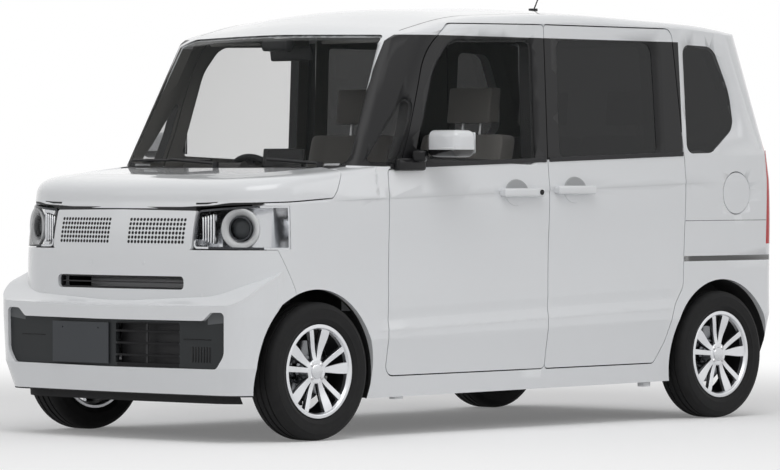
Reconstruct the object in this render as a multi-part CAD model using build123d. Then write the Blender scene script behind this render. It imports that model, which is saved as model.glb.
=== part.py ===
from build123d import *
import math
import os

# Tall-roofed kei car with rear sliding doors, in millimetres.
# +Y points to the tail, +X to the car's left side and +Z up; the ground is z = 0 and the origin
# lies under the middle of the body.

# ---------------------------------------------------------------- driving sizes
body_length = 3395.0
body_width = 1475.0
wheelbase = 2520.0
front_overhang = 490.0
track = 1305.0
tyre_radius = 278.5
tyre_width = 155.0
rim_radius = 190.0
rim_seat_radius = 180.0   # where tyre and rim meet
arch_radius = 337.0
well_radius = 350.0       # room for the steered wheel inside the front arch
well_inner_x = 405.0
tub_inner_x = 540.0       # rear wheel housing
shut_gap = 5.0            # between a panel and its neighbour
wall = 58.0               # thickness of a door or body side
roof_wall = 42.0
bonnet_wall = 26.0
glass_thickness = 5.0
glass_inset = 3.0         # pane below the outer surface
glass_lap = 12.0          # pane over its flange
rise = 0.030              # the waistline climbs this much towards the tail
crease_z = 993.0          # pressed line along the side, at y = 0
sill_top_z = 250.0
sill_inner_x = 600.0
floor_top_z = 330.0
floor_thickness = 30.0
firewall_y = -960.0
firewall_thickness = 32.0
floor_rear_y = 1626.0
door_front_y = -813.0
door_split_y = 157.5      # between front door and sliding door
door_rear_y = 1050.0
door_top_z = 1694.0
roof_panel_x = 583.0      # half width of the roof panel
bonnet_rear_y = -1070.0
cowl_half_width = 638.0
tailgate_x = 598.0
tailgate_bottom_z = 505.0
tailgate_top_z = 1702.0
lamp_inner_x = 412.0
lamp_rear_y = -1376.0
lamp_low_z = 770.0
lamp_high_z = 944.0
grille_half_width = 404.0
grille_low_z = 745.0
grille_high_z = 922.0
spindle_radius = 25.95
hub_bore_radius = 26.0
column_radius = 12.0
running_clearance = 0.05
seat_x = 330.0
jack_x = 660.0
jack_z = 150.0
jack_y = (-700.0, 860.0)
steering_x = -330.0

front_y = -body_length / 2
rear_y = body_length / 2
half_width = body_width / 2
front_axle_y = front_y + front_overhang
rear_axle_y = front_axle_y + wheelbase
front_arch_y = front_axle_y - 20
wheel_x = track / 2
axle_z = tyre_radius
arch_z = axle_z - 8
cabin_front_y = firewall_y + firewall_thickness


# ---------------------------------------------------------------- helpers
def outline(plane, rows):
    """Closed face on a plane from rows of (across, up, corner radius)."""
    line = FilletPolyline(*[(r[0], r[1]) for r in rows], radius=[r[2] for r in rows], close=True)
    return plane * make_face(line)


def with_mirror(rows):
    """Right-hand rows and their mirror images, as one closed table."""
    return rows + [(-a, b, r) for a, b, r in reversed(rows) if a > 0]


def grown(face, amount):
    return offset(face, amount=amount, kind=Kind.INTERSECTION).faces()[0]


def side_face(rows):
    return outline(Plane.YZ, rows)


def side_prism(rows, x_from, x_to, grow=0.0):
    """Side-view outline, rows of (y, z, radius), between two x stations."""
    face = side_face(rows)
    if grow:
        face = grown(face, grow)
    return extrude(Pos(x_from, 0, 0) * face, amount=x_to - x_from, dir=(1, 0, 0))


def front_prism(rows, y_from, y_to, grow=0.0):
    """Front-view outline, rows of (x, z, radius), between two y stations."""
    face = outline(Plane.XZ, rows)
    if grow:
        face = grown(face, grow)
    return extrude(Pos(0, y_from, 0) * face, amount=y_to - y_from, dir=(0, 1, 0))


def block(x0, x1, y0, y1, z0, z1):
    return Pos((x0 + x1) / 2, (y0 + y1) / 2, (z0 + z1) / 2) * Box(x1 - x0, y1 - y0, z1 - z0)


def rod(start, end, radius):
    """Round bar between two points."""
    a, b = Vector(*start), Vector(*end)
    return extrude(Plane(origin=a, z_dir=b - a) * Circle(radius), amount=(b - a).length)


def x_cylinder(radius, x0, x1, y, z):
    return Pos((x0 + x1) / 2, y, z) * Rot(0, 90, 0) * Cylinder(radius, abs(x1 - x0))


def mirror_x(shape):
    return mirror(shape, about=Plane.YZ)


def both_sides(shape):
    return Compound(children=[*shape.solids(), *mirror_x(shape).solids()])


def group(*shapes):
    return Compound(children=[s for shape in shapes for s in shape.solids()])


def main_solid(shape):
    return max(shape.solids(), key=lambda s: s.volume)


pieces = {}


def keep(name, shape, tidy=True):
    """Register one sub-part; slivers left by cuts are dropped."""
    solids = shape.solids()
    biggest = max(s.volume for s in solids)
    if tidy:
        solids = [s for s in solids if s.volume > biggest * 0.02]
    pieces[name] = solids[0] if len(solids) == 1 else Compound(children=solids)
    print(name, len(solids), round(sum(s.volume for s in solids) / 1e6, 2), "dm3")


# ---------------------------------------------------------------- outer body
# Rings round the lower body, on planes that climb towards the tail.
# columns: z at y 0, climb, nose y, nose bow, front corner x, radius, side x, rear corner x, tail y, radius
lower_rings = [
    (165, 0.006, -1625, 40, 690, 200, 694, 690, 1655, 90),
    (418, 0.022, -1648, 45, 722, 250, 730, 727, 1694, 80),
    (640, 0.027, -1647, 45, 722, 265, 725, 725, 1696.1, 80),
    (860, 0.030, -1638, 45, 724, 270, 735, 731, 1691, 80),
    (crease_z, rise, -1606, 45, 724, 270, half_width + 0.6, 733, 1686, 85),
    (1123, rise, -1590, 45, 716, 270, 728, 724, 1676, 90),
]
# Rings over the nose, from the pressed line up to the middle of the bonnet.
# columns: z at y 0, climb, nose y, nose bow, front corner x, radius, x at the back
nose_rings = [
    (crease_z, rise, -1606, 45, 724, 270, 729.9),
    (1068, 0.045, -1597, 46, 722, 268, 725.4),
    (1126, 0.0627, -1575, 48, 708, 262, 722.3),
    (1152, 0.070, -1540, 52, 680, 250, 719.6),
    (1168, 0.0747, -1478, 58, 612, 225, 680),
    (1175, 0.0765, -1405, 60, 535, 200, 610),
]
nose_back_y = -880.0
# Rings round the glasshouse. columns: z at y 0, climb, screen y, corner x, corner y, radius,
# pillar x, pillar y, radius, side x, its radius, tail corner x, tail y, tail radius
upper_rings = [
    (1100, rise, -1053, 669, -993, 70, 721.5, -839, 250, 728.3, 60000, 723.3, 1675, 95),
    (1700, 0.0, -748, 596, -672, 70, 698, -500, 250, 703, 18000, 684, 1541, 190),
]


def lower_ring(row, inset):
    z, climb, nose, bow, front_x, front_r, side_x, rear_x, tail, rear_r = row
    rows = [
        (0, nose - 4 + inset, 2000),
        (front_x - inset, nose + bow + inset, front_r - inset),
        (side_x - inset, 0, 60000),
        (rear_x - inset, tail - 5 - inset, max(rear_r - inset, 15)),
        (0, tail + 2 - inset, 5000),
    ]
    level = Plane(origin=(0, 0, z), x_dir=(1, 0, 0), z_dir=(0, -climb, 1))
    return outline(level, with_mirror(rows))


def nose_ring(row, inset, drop):
    z, climb, nose, bow, front_x, front_r, back_x = row
    rows = [
        (0, nose - 4 + inset, 2000),
        (front_x - inset, nose + bow + inset, front_r - inset),
        (back_x - inset, nose_back_y, 0),
        (0, nose_back_y, 0),
    ]
    level = Plane(origin=(0, 0, z - drop), x_dir=(1, 0, 0), z_dir=(0, -climb, 1))
    return outline(level, with_mirror(rows))


def nose_solid(inset, drop):
    return loft([nose_ring(r, inset, drop) for r in nose_rings])


def lower_solid(inset):
    """Lower body: full length to the pressed line, and on to the waist behind the bonnet."""
    rings = [lower_ring(r, inset) for r in lower_rings]
    shoulder = loft(rings[4:6], ruled=True) & block(-900, 900, nose_back_y - 4, 1900, 800, 1400)
    return loft(rings[0:2], ruled=True) + loft(rings[1:5]) + shoulder


def upper_ring(row, inset):
    z, climb, screen, corner_x, corner_y, corner_r = row[:6]
    pillar_x, pillar_y, pillar_r, side_x, side_r, tail_x, tail, tail_r = row[6:]
    rows = [
        (0, screen + inset, 2500),
        (corner_x - inset * 0.6, corner_y + inset, corner_r - inset * 0.8),
        (pillar_x - inset, pillar_y + inset * 0.4, pillar_r - inset),
        (side_x - inset, 0, side_r),
        (tail_x - inset, tail - inset, max(tail_r - inset, 15)),
        (0, tail + 6 - inset, 5000),
    ]
    level = Plane(origin=(0, 0, z), x_dir=(1, 0, 0), z_dir=(0, -climb, 1))
    return outline(level, with_mirror(rows))


def upper_solid(inset):
    low, high = upper_rings
    beyond = 1.16          # carry the walls on above the roof line
    top = tuple(a + (b - a) * beyond for a, b in zip(low, high))
    top = top[:10] + (high[10],) + top[11:]
    return loft([upper_ring(low, inset), upper_ring(top, inset)], ruled=True)


# Roof line, rows of (y, z, radius); the crowned cross-section is swept along it.
roof_rows = [
    (-860, 1560, 0), (-690, 1672, 620), (-330, 1758, 1500), (350, 1788, 6000), (1250, 1755, 3000),
    (1700, 1692, 0),
]
roof_edge_x = 706.0
roof_edge_drop = 45.0
roof_edge_radius = 75.0
roof_crown = 19.5


def roof_lid(drop):
    """Space under the roof skin, lowered by drop."""
    corners = [(y, z) for y, z, _ in roof_rows]
    path = Plane.YZ * FilletPolyline(*corners, radius=[r for _, _, r in roof_rows[1:-1]])
    section = with_mirror([
        (0, roof_crown - drop, 4000),
        (roof_edge_x, -roof_edge_drop - drop, roof_edge_radius),
        (roof_edge_x + 14, -330, 0),
        (0, -330, 0),
    ])
    plane = Plane(origin=path @ 0, x_dir=(1, 0, 0), z_dir=-(path % 0))
    return sweep(outline(plane, section), path=path)


def glasshouse(inset, drop):
    under_roof = roof_lid(drop) + block(-800, 800, -1300, 1900, 900, 1520)
    return upper_solid(inset) & under_roof


# Lower front bumper, which stands out below the grille.
# columns: z, nose y, bow, corner x, radius, side x
jaw_rings = [
    (186, -1668, 42, 692, 130, 700),
    (300, front_y, 45, 724, 120, 716),
    (500, front_y, 45, 734, 110, 724),
    (720, front_y, 45, 737, 110, 726),
]
jaw_bow_radius = 2500.0
jaw_side_y = -1450.0
jaw_back_y = -1290.0
jaw_tuck = 45.0            # the side runs in behind the wing
jaw_top_rows = [(-1662, 548, 60), (-1560, 622, 200), (-1250, 750, 0)]


def jaw_solid(inset):
    sections = []
    for z, nose, bow, corner_x, radius, side_x in jaw_rings:
        half_turn = math.atan(bow / corner_x)
        vertex_y = nose - jaw_bow_radius * (1 / math.cos(half_turn) - 1)
        rows = [
            (0, vertex_y + inset, jaw_bow_radius),
            (corner_x - inset, vertex_y + bow + inset, max(radius - inset, 10)),
            (side_x - inset, jaw_side_y, 0),
            (side_x - inset - jaw_tuck, jaw_back_y, 0),
            (0, jaw_back_y, 0),
        ]
        sections.append(outline(Plane.XY.offset(z), with_mirror(rows)))
    top = [(-1800, 1000, 0), (-1800, 520 - inset, 0)]
    top += [(y, z - inset, r) for y, z, r in jaw_top_rows]
    top += [(-1250, 1000, 0)]
    return loft(sections, ruled=True) - side_prism(top, -800, 800)


outer = lower_solid(0) + nose_solid(0, 0) + glasshouse(0, 0) + jaw_solid(0)
print("outer", outer.is_valid, len(outer.solids()), outer.bounding_box())


def inner_body(inset):
    return lower_solid(inset) + nose_solid(inset, bonnet_wall)


# ---------------------------------------------------------------- hollow shell
arch_cut = both_sides(x_cylinder(arch_radius, 685, 800, front_arch_y, arch_z)
                      + x_cylinder(arch_radius, 685, 800, rear_axle_y, arch_z))
well_cut = both_sides(x_cylinder(well_radius, well_inner_x, 686, front_arch_y + 12, arch_z)
                      + x_cylinder(arch_radius + 5, tub_inner_x, 686, rear_axle_y, arch_z))
cabin = lower_solid(wall) & block(-800, 800, cabin_front_y, 1800, floor_top_z, 1300)
cabin = cabin + (glasshouse(wall, roof_wall) & block(-800, 800, cabin_front_y, 1800, 900, 1900))
inner_low = inner_body(wall)
engine_bay = inner_low & block(-800, 800, -1800, firewall_y, 100, 1300)
underside = block(-sill_inner_x, sill_inner_x, -1400, 1640, 100, floor_top_z - floor_thickness)
sill_step = both_sides(block(sill_inner_x, 652, door_front_y, door_rear_y, sill_top_z - 2, floor_top_z + 1))
shell = outer - cabin - engine_bay - underside - sill_step - arch_cut - well_cut
print("shell", shell.is_valid, len(shell.solids()))

# ---------------------------------------------------------------- shut lines, rows of (y, z, radius)
half_gap = shut_gap / 2
front_door_rows = [
    (door_front_y, sill_top_z, 45), (door_split_y - half_gap, sill_top_z + 2, 20),
    (door_split_y - half_gap, door_top_z, 15), (-405, door_top_z - 6, 70), (-560, 1600, 300),
    (-683, 1235, 200), (-745, 1090, 12), (door_front_y, 1084, 12),
]
slide_door_rows = [
    (door_split_y + half_gap, sill_top_z + 2, 20), (868, sill_top_z + 4, 25), (930, 345, 200),
    (985, 500, 100), (1045, 580, 60), (door_rear_y, 1150, 300), (1000, door_top_z, 45),
    (door_split_y + half_gap, door_top_z, 15),
]
bonnet_side_rows = [
    (-1800, 931, 0), (-1601, 931, 0), (-1560, 954, 50), (-1378, 960, 400), (-1140, 974, 25),
    (-1116, 1003, 60), (bonnet_rear_y, 1096, 10), (bonnet_rear_y, 1300, 0), (-1800, 1300, 0),
]
bumper_rear_rows = [
    (-1800, 60, 0), (-1500, 60, 0), (-1340, 560, 0), (-1350, 607, 0), (-1437, lamp_low_z - 4, 0),
    (-1800, lamp_low_z - 4, 0),
]
rear_bumper_rows = [(1330, 60, 0), (1800, 60, 0), (1800, 500, 0), (1655, 500, 0), (1620, 572, 30),
                    (1330, 580, 0)]
fuel_lid_y = 1400.0
fuel_lid_z = 984.0
fuel_lid_radius = 90.0

# window outlines, rows of (y, z, radius)
front_glass_rows = [(-640, 1145, 25), (67, 1118, 25), (67, 1622, 30), (-420, 1612, 120), (-520, 1500, 200)]
slide_glass_rows = [(245, 1146, 25), (860, 1162, 25), (850, 1622, 45), (245, 1622, 30)]
quarter_glass_rows = [(1085, 1168, 30), (1240, 1172, 50), (1388, 1275, 60), (1372, 1420, 300),
                      (1278, 1612, 70),
                      (1085, 1618, 30)]
corner_glass_rows = [(-905, 1118, 12), (-762, 1114, 12), (-705, 1235, 150), (-640, 1440, 20)]
# front and rear screens, rows of (x, z, radius)
screen_rows = with_mirror([(0, 1637, 6000), (570, 1628, 45), (640, 1112, 30), (0, 1106, 0)])
tailgate_glass_rows = with_mirror([(0, 1640, 0), (540, 1636, 60), (556, 1210, 60), (0, 1200, 0)])

pane_depth = glass_inset + glass_thickness
pane_base = glasshouse(pane_depth, pane_depth)
pane_layer = glasshouse(glass_inset, glass_inset) - pane_base
rebate_layer = (outer & block(-800, 800, -1100, 1800, 1090, 1900)) - pane_base
left_panes = pane_layer & block(520, 800, -1100, 1800, 1000, 1700)
left_rebates = rebate_layer & block(520, 800, -1100, 1800, 1000, 1700)


def side_window(rows):
    """Pane, and what the panel loses: a rebate for the pane and the opening inside it."""
    reach = side_prism(rows, 520, 800, glass_lap)
    pane = main_solid(left_panes & reach)
    return pane, (left_rebates & reach) + side_prism(rows, 520, 800)


# ---------------------------------------------------------------- front doors
door_glass, door_window = side_window(front_glass_rows)
side_shell = shell & block(sill_inner_x, 800, door_front_y - 20, rear_y, 60, 1900)
door_skin = main_solid(side_shell & side_prism(front_door_rows, 590, 810))
door = main_solid(door_skin - door_window)
keep("front_door_left", door)
keep("front_door_right", mirror_x(door))
keep("front_door_glass_left", door_glass)
keep("front_door_glass_right", mirror_x(door_glass))

# ---------------------------------------------------------------- sliding doors
slide_glass, slide_window = side_window(slide_glass_rows)
slide = main_solid((side_shell & side_prism(slide_door_rows, 590, 810)) - slide_window)
keep("sliding_door_left", slide)
keep("sliding_door_right", mirror_x(slide))
keep("sliding_door_glass", both_sides(slide_glass))

# ---------------------------------------------------------------- body sides
door_holes = side_prism(front_door_rows, 598, 810, shut_gap)
door_holes = door_holes + side_prism(slide_door_rows, 598, 810, shut_gap)
quarter_glass, quarter_window = side_window(quarter_glass_rows)
corner_glass, corner_window = side_window(corner_glass_rows)
keep("quarter_windows", group(both_sides(quarter_glass), both_sides(corner_glass)), tidy=False)

nose_region = block(-800, 800, -1800, door_front_y - shut_gap, 60, 1400) & side_prism(
    [(-1800, 60, 0), (door_front_y - shut_gap, 60, 0), (door_front_y - shut_gap, 1098, 0), (-1062, 1106, 0),
     (-1800, 1300, 0)], -800, 800)
bonnet_space = side_prism(bonnet_side_rows, -800, 800, 0.0)
bumper_space = side_prism(bumper_rear_rows, -800, 800)
rear_bumper_space = side_prism(rear_bumper_rows, -800, 800)
tailgate_rows = with_mirror([
    (0, tailgate_bottom_z, 0), (560, tailgate_bottom_z, 30), (tailgate_x, 740, 60),
    (tailgate_x, tailgate_top_z - 30, 60), (500, tailgate_top_z, 60), (0, tailgate_top_z, 0),
])
tailgate_space = front_prism(tailgate_rows, 1380, 1800)
tailgate_hole = front_prism(tailgate_rows, 1380, 1800, shut_gap)
screen_space = front_prism(screen_rows, -1100, -560, glass_lap)
screen_pane = main_solid(pane_layer & screen_space)
screen_cut = (rebate_layer & screen_space) + front_prism(screen_rows, -1100, -560)
roof_space = block(-roof_panel_x, roof_panel_x, -1000, 1700, 1600, 1900)
floor_space = block(-sill_inner_x, sill_inner_x, -1800, 1800, 60, floor_top_z)
wall_space = block(-sill_inner_x, sill_inner_x, firewall_y - 10, cabin_front_y + 10, 60, 1090)

side_half = shell & block(520, 800, -1100, 1800, 60, 1900)
side_half = side_half - door_holes - quarter_window - corner_window - screen_cut
side_half = side_half - nose_region - rear_bumper_space - tailgate_hole
side_half = side_half - (roof_space + floor_space + wall_space)
pillar_rows = [(610, 240, 0), (641, 240, 0), (643, 310, 0), (661, 440, 60), (661, 1060, 300),
               (634, 1712, 0),
               (590, 1712, 0), (612, 1060, 300)]
pillar = front_prism(pillar_rows, 118, 198)
tail_lamp_rows = [(608, 760, 20), (800, 760, 0), (800, 1228, 0), (608, 1228, 20)]
tail_lamp_space = front_prism(tail_lamp_rows, 1612, 1800)
door_track = block(720, 800, door_rear_y + 6, 1645, 689, 711)
pad_top_z = 172.0
jack_pads = Compound(children=[block(jack_x - 15, jack_x + 15, y - 25, y + 25, jack_z, pad_top_z)
                               for y in jack_y])
side_half = side_half - tail_lamp_space - door_track + jack_pads
side_half = main_solid(side_half + (pillar - (roof_space + block(0, 800, 0, 300, 1700, 1900))))
lid_hole = x_cylinder(fuel_lid_radius + shut_gap, 705, 800, fuel_lid_y, fuel_lid_z)
keep("body_side_right", mirror_x(side_half))
keep("body_side_left", side_half - lid_hole)
keep("windscreen", screen_pane)

# ---------------------------------------------------------------- roof, floor and front structure
keep("roof_panel", main_solid((shell & roof_space) - screen_cut - tailgate_hole))

flange_z = 215.0           # lower edge of the floor's side flanges
flange = both_sides(block(sill_inner_x - 8, sill_inner_x, -850, 930, flange_z, floor_top_z))
cross_members = [(-620, 40), (-60, 40), (430, 40), (900, 40)]
members = Compound(children=[block(-592, 592, y - half, y + half, 255, 302) for y, half in cross_members])
front_tub = x_cylinder(well_radius + 8, well_inner_x - 8, 690, front_arch_y + 12, arch_z)
front_tub = front_tub - x_cylinder(well_radius, well_inner_x, 700, front_arch_y + 12, arch_z)
front_tub = front_tub & cabin
rear_tub_radius = arch_radius + 5
rear_tub = x_cylinder(rear_tub_radius + 8, tub_inner_x - 8, 690, rear_axle_y, arch_z)
rear_tub = rear_tub - x_cylinder(rear_tub_radius, tub_inner_x, 700, rear_axle_y, arch_z)
rear_tub = rear_tub & cabin
apron_x = 392.0
apron = block(apron_x - 8, apron_x, -1545, firewall_y, 300, 905)
rail = block(apron_x - 68, apron_x, -1660, firewall_y, 300, 390) & inner_low
tower_z = 762.0
tower = block(apron_x - 8, 575, -1290, -1125, tower_z, tower_z + 12)
tower = tower + block(apron_x - 8, 575, -1290, -1282, tower_z - 60, tower_z + 12)
tower = tower + block(apron_x - 8, 575, -1133, -1125, tower_z - 60, tower_z + 12)
front_beam = block(-apron_x, apron_x, -1560, -1530, 520, 600)
side_rails = both_sides(apron + rail + tower) + front_beam - well_cut
fire_wall = shell & block(-sill_inner_x, sill_inner_x, firewall_y, cabin_front_y, floor_top_z, 1085)
floor_shell = shell & block(-sill_inner_x, sill_inner_x, firewall_y, floor_rear_y, 60, floor_top_z)
floor_pan = floor_shell + flange + members - well_cut
keep("front_side_rails", main_solid(side_rails))
keep("firewall", main_solid(fire_wall))
keep("wheel_housings", both_sides(front_tub + rear_tub))
keep("floor_pan", main_solid(floor_pan))

# ---------------------------------------------------------------- nose
lamp_front_rows = [(lamp_inner_x, lamp_low_z + 2, 18), (900, lamp_low_z - 4, 0), (900, lamp_high_z, 0),
                   (640, lamp_high_z - 2, 80), (lamp_inner_x, 924, 18)]


def lamp_space(shrink):
    seen = front_prism(lamp_front_rows, -1800, -1300, -shrink if shrink else 0.0)
    return seen & block(0, 900, -1800, lamp_rear_y - shrink, 600, 1100)


def flank(inset, region):
    """Nose and sides between the skirt and the pressed line, within a region."""
    return loft([lower_ring(r, inset) for r in lower_rings[1:5]]) & region


lens_thickness = 4.0
bowl_depth = 95.0
bowl_floor = 15.0
bonnet_cut = side_prism(bonnet_side_rows, -800, 800, shut_gap)
lens_back = flank(lens_thickness, lamp_space(0))
nose_corner = block(0, 900, -1800, -1200, 700, 1000)
lens = main_solid(((flank(0, nose_corner) - lens_back) & lamp_space(1.5)) - bonnet_cut)
bowl = lens_back - flank(bowl_depth, block(0, 900, -1800, -1200, 700, 1000))
pocket = (lens_back & lamp_space(8)) - flank(bowl_depth - bowl_floor, nose_corner)
bowl = main_solid(bowl - pocket - bonnet_cut)
barrel_x = 596.0
barrel_z = 852.0
barrel_dir = Vector(0.35, -1, 0)
barrel_plane = Plane(origin=(barrel_x - 22, -1478, barrel_z), z_dir=barrel_dir)
barrel = extrude(barrel_plane * (Circle(50) - Circle(44)), amount=55)
barrel = barrel + extrude(barrel_plane * Circle(44), amount=12)
bowl = main_solid(bowl + barrel)
keep("headlamp_housings", both_sides(bowl))
keep("headlamp_lenses", both_sides(lens))

lamp_hole = both_sides(lamp_space(0))
grille_rows = with_mirror([(0, grille_low_z, 0), (366, grille_low_z, 14), (grille_half_width, 772, 14),
                           (grille_half_width, grille_high_z, 8), (0, grille_high_z + 4, 0)])
grille_fit = front_prism(grille_rows, -1800, -1500)
panel_thickness = 14.0
panel_back = flank(panel_thickness, block(-600, 600, -1800, -1400, 700, 1000))
grille_panel = main_solid(flank(0, grille_fit) - panel_back)
keep("grille_panel", grille_panel)
grille_hole = front_prism(grille_rows, -1800, -1500)

lower_grille_rows = with_mirror([(0, 294, 0), (592, 296, 30), (632, 350, 60), (634, 522, 20),
                                 (562, 520, 25),
                                 (522, 487, 30), (0, 485, 0)])
slot_rows = with_mirror([(0, 607, 0), (368, 607, 18), (368, 660, 18), (0, 660, 0)])
mouth = front_prism(lower_grille_rows, -1800, -1560)
slot_mouth = front_prism(slot_rows, -1800, -1540)
nose_shell = shell & block(-800, 800, -1800, -1290, 60, 1000)
bumper = (nose_shell & bumper_space) - lamp_hole - grille_hole - mouth - slot_mouth
keep("front_bumper", main_solid(bumper))

recess = 14.0
insert_depth = 20.0
insert = (jaw_solid(recess) - jaw_solid(recess + insert_depth)) & mouth
mesh_window = block(35, 385, -1800, -1500, 312, 470)
slats = Compound(children=[block(30, 390, -1800, -1500, z - 4, z + 4) for z in (343, 391, 439)])
insert = main_solid(insert - (mesh_window - slats))
keep("lower_grille", insert)

nose_bow_radius = 5800.0


def bowed_band(half, y_mid, depth, z0, z1):
    """Upright band that follows the nose's curve in plan."""
    end_y = y_mid + nose_bow_radius - math.sqrt(nose_bow_radius**2 - half**2)
    front = ThreePointArc((-half, end_y), (0, y_mid), (half, end_y))
    back = ThreePointArc((half, end_y + depth), (0, y_mid + depth), (-half, end_y + depth))
    sides = Line(front @ 1, back @ 0) + Line(back @ 1, front @ 0)
    return extrude(Plane.XY.offset(z0) * make_face(front + back + sides), amount=z1 - z0)


slot_band = bowed_band(400, -1622, insert_depth, 600, 670) & slot_mouth
slot_open = bowed_band(360, -1640, 60, 614, 653)
slot_slats = bowed_band(364, -1620, insert_depth - 6, 631, 636)
keep("upper_intake", main_solid(slot_band - slot_open + slot_slats))

plate_x = -165.0
plate_width = 330.0
plate_height = 165.0
plate_bolt_spacing = 210.0
plate_bolt_radius = 3.5
plate_z = 388.0
plate_y = front_y + 5.5
bracket = block(plate_x - 60, plate_x + 60, plate_y + 4, front_y + 60, plate_z - 50, plate_z + 50)
plate = block(plate_x - plate_width / 2, plate_x + plate_width / 2, plate_y, plate_y + 4,
              plate_z - plate_height / 2, plate_z + plate_height / 2)
plate_front = plate + (bracket - jaw_solid(recess))
for x in (plate_x - plate_bolt_spacing / 2, plate_x + plate_bolt_spacing / 2):
    hole = Pos(x, plate_y, plate_z + 60) * Rot(90, 0, 0) * Cylinder(plate_bolt_radius, 40)
    plate_front = plate_front - hole
keep("front_plate", main_solid(plate_front))

wing_space = nose_region - bonnet_cut - side_prism(bumper_rear_rows, -900, 900, 2.0)
wing = (shell & block(sill_inner_x, 800, -1470, door_front_y - shut_gap, 60, 1300)) & wing_space
wing = wing - lamp_hole - block(0, 640, bonnet_rear_y, firewall_y, 1040, 1300) - screen_cut
keep("front_wing_left", main_solid(wing))
keep("front_wing_right", mirror_x(main_solid(wing)))
nose_top = shell & block(-800, 800, -1800, bonnet_rear_y, 920, 1300)
below_bonnet = block(-900, 900, -1900, -900, 800, 1400) - bonnet_space
bonnet = main_solid(nose_top - below_bonnet)
keep("bonnet", bonnet)
cowl = shell & block(-cowl_half_width, cowl_half_width, bonnet_rear_y + shut_gap, firewall_y, 1040, 1200)
cowl = (cowl & nose_region) - screen_cut - screen_space
keep("cowl_panel", main_solid(cowl))

# ---------------------------------------------------------------- tail
rear_window = front_prism(tailgate_glass_rows, 1380, 1800, glass_lap)
rear_pane = main_solid(pane_layer & rear_window)
tailgate = main_solid(shell & tailgate_space)
tailgate = main_solid(tailgate - (rebate_layer & rear_window) - front_prism(tailgate_glass_rows, 1380, 1800))
keep("tailgate", tailgate)
keep("tailgate_glass", rear_pane)
tail_shell = shell & block(-800, 800, 1320, 1800, 60, 620)
tail_shell = tail_shell - block(-640, 640, 1300, floor_rear_y, 60, 700) - tailgate_hole
keep("rear_bumper", main_solid(tail_shell & rear_bumper_space))
tail_lamp = main_solid((shell & block(560, 800, 1500, 1800, 700, 1300)) & tail_lamp_space)
keep("tail_lamps", both_sides(tail_lamp))
lid = main_solid(shell & x_cylinder(fuel_lid_radius, 715, 800, fuel_lid_y, fuel_lid_z))
keep("fuel_lid", lid)

# ---------------------------------------------------------------- inside
dash_rows = [(cabin_front_y, 640, 0), (cabin_front_y, 1050, 0), (-800, 1066, 60), (-668, 1030, 40), (-640, 880, 50),
             (-700, 740, 40), (-780, 640, 0)]
dash = side_prism(dash_rows, -598, 598)
hood_rows = [(-800, 1040, 0), (-790, 1118, 30), (-690, 1110, 25), (-668, 1020, 0)]
dash = dash + side_prism(hood_rows, steering_x - 170, steering_x + 170)
wheel_centre = Vector(steering_x, -480, 985)
column_tilt = 28.0
column_dir = Vector(0, math.cos(math.radians(column_tilt)), math.sin(math.radians(column_tilt)))
column_start = wheel_centre - column_dir * 230
column = extrude(Plane(origin=column_start, z_dir=column_dir) * Circle(38), amount=180)
shaft_plane = Plane(origin=column_start, z_dir=column_dir)
shaft = extrude(shaft_plane * Circle(column_radius - running_clearance), amount=236)
keep("dashboard", main_solid(dash + column + shaft))

wheel_plane = Plane(origin=wheel_centre, x_dir=(1, 0, 0), z_dir=column_dir)
rim = wheel_plane * Torus(176, 14)
hub = extrude(wheel_plane.offset(-36) * Circle(46), amount=52)
spokes = [(0, 28), (180, 28), (270, 34)]
steering = rim + hub
for angle, width in spokes:
    bar = Pos(90, 0, 0) * Box(150, width, 14)
    steering = steering + wheel_plane * (Rot(0, 0, angle) * bar)
bore_plane = wheel_plane.offset(-60)
steering = steering - extrude(bore_plane * Circle(column_radius), amount=70)
keep("steering_wheel", main_solid(steering))

cushion_rows = [(-330, 560, 40), (180, 560, 20), (190, 640, 30), (-320, 700, 60)]
back_rows = [(75, 600, 30), (190, 600, 20), (330, 1240, 30), (235, 1245, 40)]
head_rows = [(262, 1275, 25), (340, 1280, 25), (356, 1440, 35), (285, 1440, 35)]


def seat(y_shift, half):
    body = side_prism(cushion_rows, -half, half) + side_prism(back_rows, -half + 10, half - 10)
    body = body + side_prism(head_rows, -125, 125)
    for x in (-50, 50):
        body = body + rod((x, 290, 1225), (x, 305, 1300), 7)
    return Pos(0, y_shift, 0) * body


front_seat = seat(-180, 250) + block(-200, 200, -440, -60, floor_top_z, 562)
keep("front_seats", group(Pos(seat_x, 0, 0) * front_seat, Pos(-seat_x, 0, 0) * front_seat))
rear_seat = seat(930, 245) + block(-200, 200, 660, 1000, floor_top_z, 562)
keep("rear_seats", group(Pos(262, 0, 0) * rear_seat, Pos(-262, 0, 0) * rear_seat))

# ---------------------------------------------------------------- running gear
engine_rows = [(-1500, 310, 30), (-1010, 310, 30), (-1010, 640, 60), (-1080, 780, 60), (-1440, 780, 60),
               (-1500, 640, 60)]
engine_mount = block(300, apron_x - 68, -1260, -1200, 320, 380)
keep("engine_block", side_prism(engine_rows, -305, 305) + both_sides(engine_mount))

kingpin_low = Vector(596, front_axle_y, 165)
kingpin_high = Vector(480, front_axle_y, 752)


def on_kingpin(z):
    share = (z - kingpin_low.Z) / (kingpin_high.Z - kingpin_low.Z)
    return kingpin_low + (kingpin_high - kingpin_low) * share


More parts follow.
